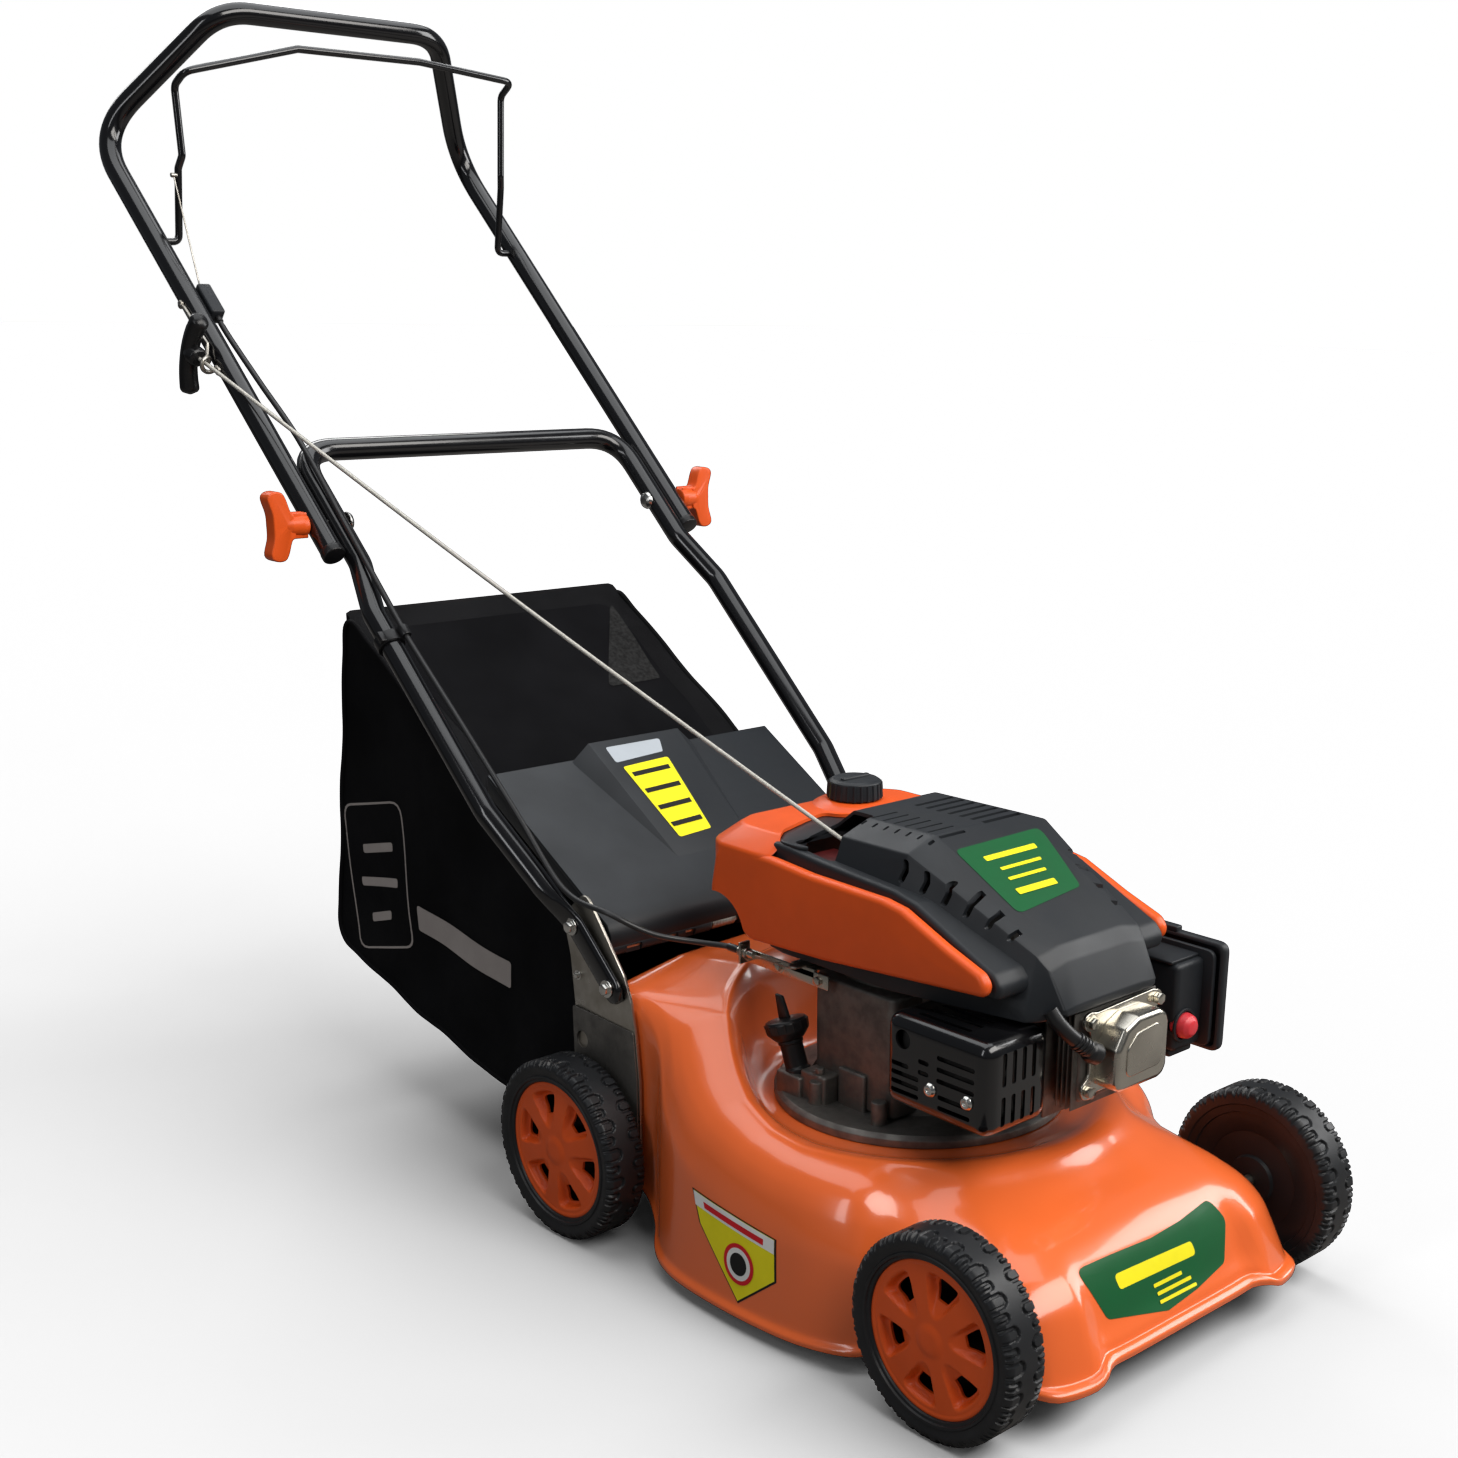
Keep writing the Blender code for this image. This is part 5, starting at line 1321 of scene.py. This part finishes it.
def make_guard():
    guard = box("guard", (-132, -54), (-205, -86), (211, 294), "gloss", 13, 7)
    slots = [((-140, -120), (y0, y1), (z, z + 4.2)) for y0, y1, heights in (
        (-190, -148, (267, 257, 247)), (-186, -150, (233, 223.5)), (-139, -127, (258, 248.5)),
        (-128, -96, (241, 233, 225)), (-116, -96, (249,))) for z in heights]
    slots += [((x, x + 5), (-212, -195), rise) for x in (-115, -103, -91, -79)
              for rise in ((220, 246), (255, 284))]
    slots += [((x, x + 5), (-170, -112), (285, 300)) for x in (-118, -104, -90)]
    cut(guard, box("hollow", (-129.8, -30), (-202.8, -88.2), (213.2, 291.8), "gloss", 10, 3),
        boxes("cut", slots, bevel=1.9), rod("cut", (-140, -109, 274), (-120, -109, 274), 8.5))
    place(guard, "root", "black_enamel", "muffler_guard")
    head = rounded([(0, 131.4), (6.2, 131.4), (6.2, 133.2), (4.4, 135.6), (2.2, 136), (1.6, 134.4),
                    (0, 134.4)], 0.7)
    screws = [lathe("guard_screws", head, (-1, 0, 0), (0, y, z), "bolt", 40)
              for y, z in ((-142, 239), (-183, 240))]
    place(join(*screws), "root", "bolt_steel")
    place(box("muffler_can", (-124, -60), (-196, -96), (220, 286), "iron", 8, 5), "root", "cast_iron")


COVER_SECTIONS = [             # y, low x and z, shoulder x and z, crown x and z
    (-222, 56, 306, 60, 311, 40, 313), (-205, 72, 300, 62, 342, 40, 346),
    (-195, 80, 299, 66, 352, 40, 357), (-67, 104, 298, 88, 416, 56, 427),
    (40, 105, 298, 88, 415, 56, 425.5), (70, 105, 298, 84, 396, 50, 402),
    (92, 100, 298, 92, 372, 50, 376),
]
CAP_C = (30.0, 118.0)
OPENING = [(-105, 40), (-105, 74), (-84, 91), (-43, 105), (-16, 111), (-10, 96), (8, 86), (100, 86),
           (100, 40)]                   # in the shroud's roof: x, y


def cover_points(inset):
    """Corners of the engine's top cover, or of the room inside it."""
    pts = []
    for y, low_x, low_z, side_x, side_z, crown_x, crown_z in COVER_SECTIONS:
        y_in = min(max(y, -222 + inset), 92 - inset)
        for s in (-1, 1):
            pts.append((s * (low_x - inset), y_in, low_z - (4 if inset else 0)))
            pts.append((s * (low_x - inset - 1), y_in, max(low_z, side_z - 45) - inset * 0.5))
            pts.append((s * (side_x - inset), y_in, side_z - inset))
            pts.append((s * crown_x, y_in, crown_z - inset))
    return pts


def make_top_cover():
    ledge = loop_of([(86, 400.5), (60, 399), (22, 395), (-69, 389), (-96, 383), (-145, 361), (-184, 344),
                     (-193, 334), (-190, 322), (86, 316)], 14, 5)
    cover = fuse(hull("top_cover_look", cover_points(0), "plastic", 7, 6, 12),
                 slab("ledge", ledge, "X", -107.6, 107.6, "plastic", 4.5, 5))
    slots = []
    for k in range(7):
        y = -68 + 13.5 * k
        slots.append(((6, 54), (y, y + 5.2), (404, 440)))
        slots += [(across, (y - 4, y - 1.2), (404, 440)) for across in ((-54, -22), (-67, -60))]
    cutters = [hull("room", cover_points(3.4)), boxes("cut", slots, bevel=1.2)]
    for k in range(6):
        y, z = -66 - 20.5 * k, 411 - 6.4 * k
        wave = loop_of([(y - 3.4, z), (y + 2.6, z + 1), (y + 0.2, z - 8), (y + 3, z - 18), (y - 3, z - 19),
                        (y - 5.6, z - 9)], 4)
        cutters += [slab("cut", wave, "X", side * 60, side * 100) for side in (-1, 1)]
    cut(cover, *cutters, box("cut", (-99, -47), (12, 63), (386, 440), "plastic", 6, 3))
    place(cover, "root", "black_plastic", "top_cover")
    insert = slab("cover_insert", loop_of(OPENING, 16), "Z", 397.6, 401.2, "plastic", 1.2, 3)
    cut(insert, box("cut", (-99, -40), (0, 63), (380, 440), "plastic", 6, 3))
    place(insert, "root", "black_plastic")
    # the recess under the cover's opening is a dark red box: red with painted shade
    place(box("cord_pocket", (-101, -46), (9, 66), (374, 386), "painted_shade_red", 2, 2), "root", "black_plastic")
    rows = [("cover_label", loop_of([(-52, -86), (60, -85), (40, -150), (-48, -158)], 7), "green")]
    for k, (u0, u1, v, wide) in enumerate(((-30, 36, -99, 5), (-24, 28, -113, 3), (-26, 22, -124, 3),
                                           (-30, 20, -136, 6))):
        rows.append(("cover_label_bar_%d" % k, loop_of([(u0, v), (u1, v), (u1 - 1, v - wide),
                                                        (u0, v - wide)], 1.2), "yellow"))
    labels("root", "black_plastic", tree_of(cover), lambda u, v: (u, v, 470), (0, 0, -1), rows)


def shroud_plan(corners, radius, front):
    """The shroud's plan from its right half, and the smaller outline of its roof."""
    plan = loop_of(corners + [(-x, y) for x, y in reversed(corners[:-1])], radius)
    return plan, [(x * 0.82, front + (y - front) * 0.84) for x, y in plan]


def make_shroud():
    plan, roof = shroud_plan([(-121, 70), (-121, 138), (-110, 155), (-84, 166), (0, 168)], 22, 70)
    inside, ceiling = shroud_plan([(-118, 60), (-118, 136), (-108, 152), (-83, 163), (0, 165)], 20, 60)
    wall = loop_of([(152, 337), (142, 385), (72, 389), (20, 385), (-69, 383.5), (-92, 380), (-141, 360),
                    (-181, 346), (-188, 337), (-185, 327), (-171, 326), (4, 311), (97, 307)], 14)
    shroud = hull("shroud_look", [(*p, z) for z in (331, 389) for p in plan]
                  + [(*p, 404.5) for p in roof], "orange", 5, 5, 24)
    fuse(shroud, *[slab("arm", wall, "X", side * 108.2, side * 121.0, "orange", 5.5, 6)
                   for side in (-1, 1)])
    cut(shroud, hull("cut", [(*p, z) for z in (290, 386) for p in inside]
                     + [(*p, 401.5) for p in ceiling]),
        slab("cut", loop_of(OPENING, 16), "Z", 290, 420), rod("cut", (*CAP_C, 396), (*CAP_C, 412), 19.8),
        rod("cut", (-140, 141, 305), (140, 141, 305), 38, sides=96))
    hump = rounded([(20.2, 403.4), (42, 403.4), (33, 408.0), (27.5, 409.6), (20.2, 409.6),
                    (20.2, 403.4)], 2.5)
    place(join(shroud, lathe("hump", hump, "Z", (*CAP_C, 0), "orange", 96)), "root", "orange_plastic",
          "side_shroud")


def make_tank():
    neck = rounded([(14.8, 390), (18.5, 390), (18.5, 409), (14.8, 409), (14.8, 390)])
    place(join(box("tank_look", (-70, 104), (98, 151), (336, 397), "smooth", 8, 5),
               lathe("neck", neck, "Z", (*CAP_C, 0), "smooth")), "root", "black_plastic", "fuel_tank")
    shape = rounded([(0, 428.6), (21, 428.6), (24.4, 426.4), (25.4, 412), (25.0, 410.6), (13.5, 410.6),
                     (13.5, 402), (0, 402)], 1.5)
    middle = Vector((*CAP_C, 0))
    grip = [box("ridge", (middle.x - 17, middle.x + 17), (middle.y - 2.6, middle.y + 2.6), (427, 431),
                "plastic", 1.6, 3)]
    for a in np.arange(24) * math.pi / 12:
        out = Vector((math.cos(a), math.sin(a), 0))
        grip.append(rod("rib", middle + out * 25.2 + Vector((0, 0, 411)),
                        middle + out * 24.3 + Vector((0, 0, 425.5)), 1.3, "plastic", 10))
    cap = lathe("fuel_cap_look", shape, "Z", middle, "plastic", 96)
    place(join(cap, *grip), "cap", "black_plastic", "fuel_cap")


def make_intake():
    shell = box("filter_shell", (106, 147.2), (-211, -112), (228, 309), "plastic", 5, 5)
    cut(shell, box("room", (108.5, 155), (-208, -115), (231, 306), "plastic", 4, 3),
        rod("cut", (118, -214, 252), (118, -190, 252), 12.6))
    rim = slab("rim", loop_of([(-222, 227), (-105, 227), (-105, 317), (-222, 317)], 9, 5), "X",
               142.6, 147.2, "plastic", 1.2, 3)
    cut(rim, box("room", (140, 150), (-208, -115), (231, 306), "plastic", 4, 3))
    bead = rounded([(12.8, 211), (15.6, 211), (15.6, 213.4), (12.8, 213.4), (12.8, 211)], 0.7)
    place(join(shell, rim, box("shelf", (104, 146), (-205, -112), (309, 312), "plastic", 1.2, 3),
               box("foot", (108, 140), (-206, -150), (222, 229), "plastic", 2, 3),
               lathe("bead", bead, (0, -1, 0), (118, 0, 252))), "root", "black_plastic", "air_filter_box")
    outline = loop_of([(-229, 222), (-98, 222), (-98, 324), (-229, 324)], 10, 6)
    inside = loop_of([(-225, 226), (-102, 226), (-102, 320), (-225, 320)], 8, 6)
    lid = slab("lid", outline, "X", 147.6, 157, "plastic", 3, 4)
    cut(lid, slab("room", inside, "X", 140, 153.6))
    ribs = [box("rib", (156, 158.2), (y, y + 3), (238, 308), "plastic", 1, 2)
            for y in range(-214, -100, 21)]
    latch = box("latch", (148, 156), (-176, -150), (322, 328), "plastic", 1.4, 3)
    place(join(lid, latch, *ribs), "filter_lid", "black_plastic", "air_filter_lid")
    bulb = rounded([(0, 204), (11.8, 204), (11.8, 214), (10.4, 219.4), (6.6, 222.8), (0, 224)], 3)
    place(lathe("primer_look", bulb, (0, -1, 0), (118, 0, 252), "red"), "primer", "red_rubber",
          "primer_bulb")
    body = join(box("carburettor_look", (69, 105.6), (-176, -134), (236, 280), "cast", 4, 4),
                rod("bowl", (87, -155, 222), (87, -155, 238), 16, "zinc", 48, 2),
                rod("barrel", (60, -155, 258), (106, -155, 258), 13, "cast", 48, 1))
    place(body, "root", "cast_aluminium", "carburettor")


def make_oil_filler():
    low = Vector((-99.0, 53.0, TOP + 24.4))
    axis = Vector((-0.05, 0.30, 0.95)).normalized()
    neck = rounded([(6.6, 2), (12.5, 2), (12.5, 7), (10.5, 9), (10.5, 30), (11.6, 31), (11.6, 34),
                    (6.6, 34), (6.6, 2)], 0.8)
    place(lathe("oil_filler_look", neck, axis, low, "smooth"), "root", "black_plastic", "oil_filler")
    shape = rounded([(0, 8), (5.8, 8), (5.8, 34.4), (13, 34.4), (19.4, 42), (20.2, 50), (18.4, 53),
                     (8, 54), (0, 54)], 1.6)
    u, v, w = frame_of(axis)
    ribs = []
    for a in np.arange(16) * math.pi / 8:
        out = u * math.cos(a) + v * math.sin(a)
        ribs.append(rod("rib", low + w * 43 + out * 18.6, low + w * 51 + out * 19.4, 1.3, "smooth", 10))
    tab = hull("tab", [low + w * rise + Vector((dx, dy, 0)) for rise, wide in ((50, 8), (76, 4.6))
                       for dx in (-1.9, 1.9) for dy in (-wide, wide)], "smooth", 1.4, 3)
    cap = lathe("dipstick_look", shape, axis, low, "smooth")
    place(join(cap, tab, *ribs), "oil_cap", "black_plastic", "dipstick")


def make_ignition():
    lead = spline([(-37, -232, 274), (-46, -231, 281), (-56, -226, 290), (-64, -219, 301),
                   (-68, -212, 312)], 40)
    boot = rounded([(0, 0), (7, 0), (9.6, 4), (9.6, 12), (7.4, 17), (0, 17)], 3.5)
    ring = rounded([(0, 0), (8, 0), (8, 2.6), (0, 2.6)], 0.9)
    place(join(pipe("spark_lead", lead, 6.6, "rubber"),
               lathe("boot", boot, (-14, 3, 7), (-26, -233, 268), "rubber"),
               *[lathe("fold", ring, (-9, 4, 9), lead[k], "rubber", 32) for k in (4, 7, 10, 13)]),
          "root", "black_rubber", "spark_boot")


def make_brake():
    bracket = [box("cable_bracket_look", (-103, -101), (12, 126), (277, 290), "plated", 0.5, 2),
               box("ear", (-114, -102), (116, 119), (278, 298), "plated", 0.5, 2),
               box("tongue", (-102, -76), (30, 60), (290.3, 292.3), "plated", 0.5, 2),
               box("rise", (-103, -101), (30, 60), (284, 292.3), "plated", 0.5, 2),
               rod("collar", (-108, 104, 288), (-108, 127, 288), 3.6, "bolt", 24, 0.4)]
    bracket += [hex_head((-103, y, 283.5), (-1, 0, 0), 8, 4, washer=6.5) for y in (24, 76)]
    bracket += [hex_head((-108, y, 288), (0, way, 0), 10, 4) for y, way in ((119.2, 1), (115.8, -1))]
    place(join(*bracket), "root", "zinc_steel", "cable_bracket")
    place(rod("brake_wire_end", (-108, 108, 288), (-114.5, 49, 291.6), 0.8, "zinc", 10), "root",
          "zinc_steel")
    lever = loop_of([(-94, 39), (-84, 39), (-82, 45), (-84, 51), (-94, 51), (-116, 50), (-118, 45),
                     (-116, 40)], 4)
    pin = rounded([(0, 280), (2.4, 280), (2.4, 294.9), (5, 295), (5, 298), (0, 298)], 0.8)
    place(join(slab("brake_lever_look", lever, "Z", 292.7, 294.9, "zinc", 0.5, 2),
               lathe("pin", pin, "Z", (-88, 45, 0), "bolt")), "brake", "zinc_steel", "brake_lever")


def repaint():
    """The CAD pieces that stay as they are get their materials."""
    for node, mat in (("axle_front", "zinc"), ("axle_rear", "zinc"), ("blade", "blade"),
                      ("blade_adapter", "iron"), ("blade_bolt", "bolt"), ("crankshaft", "zinc"),
                      ("flywheel", "cast"), ("recoil_reel", "smooth"), ("filter_foam", "foam")):
        materials = NODES[node].data.materials
        materials.clear()
        materials.append(MAT[mat])


MAT = make_materials()
make_camera()
make_studio()
make_badges(make_deck())
make_wheels()
make_handles()
make_fasteners()
make_bail()
make_cable()
make_rope()
make_brackets()
make_flap()
make_bag()
make_crankcase()
make_cylinder()
make_valve_cover()
make_guard()
make_top_cover()
make_shroud()
make_tank()
make_intake()
make_oil_filler()
make_ignition()
make_brake()
repaint()
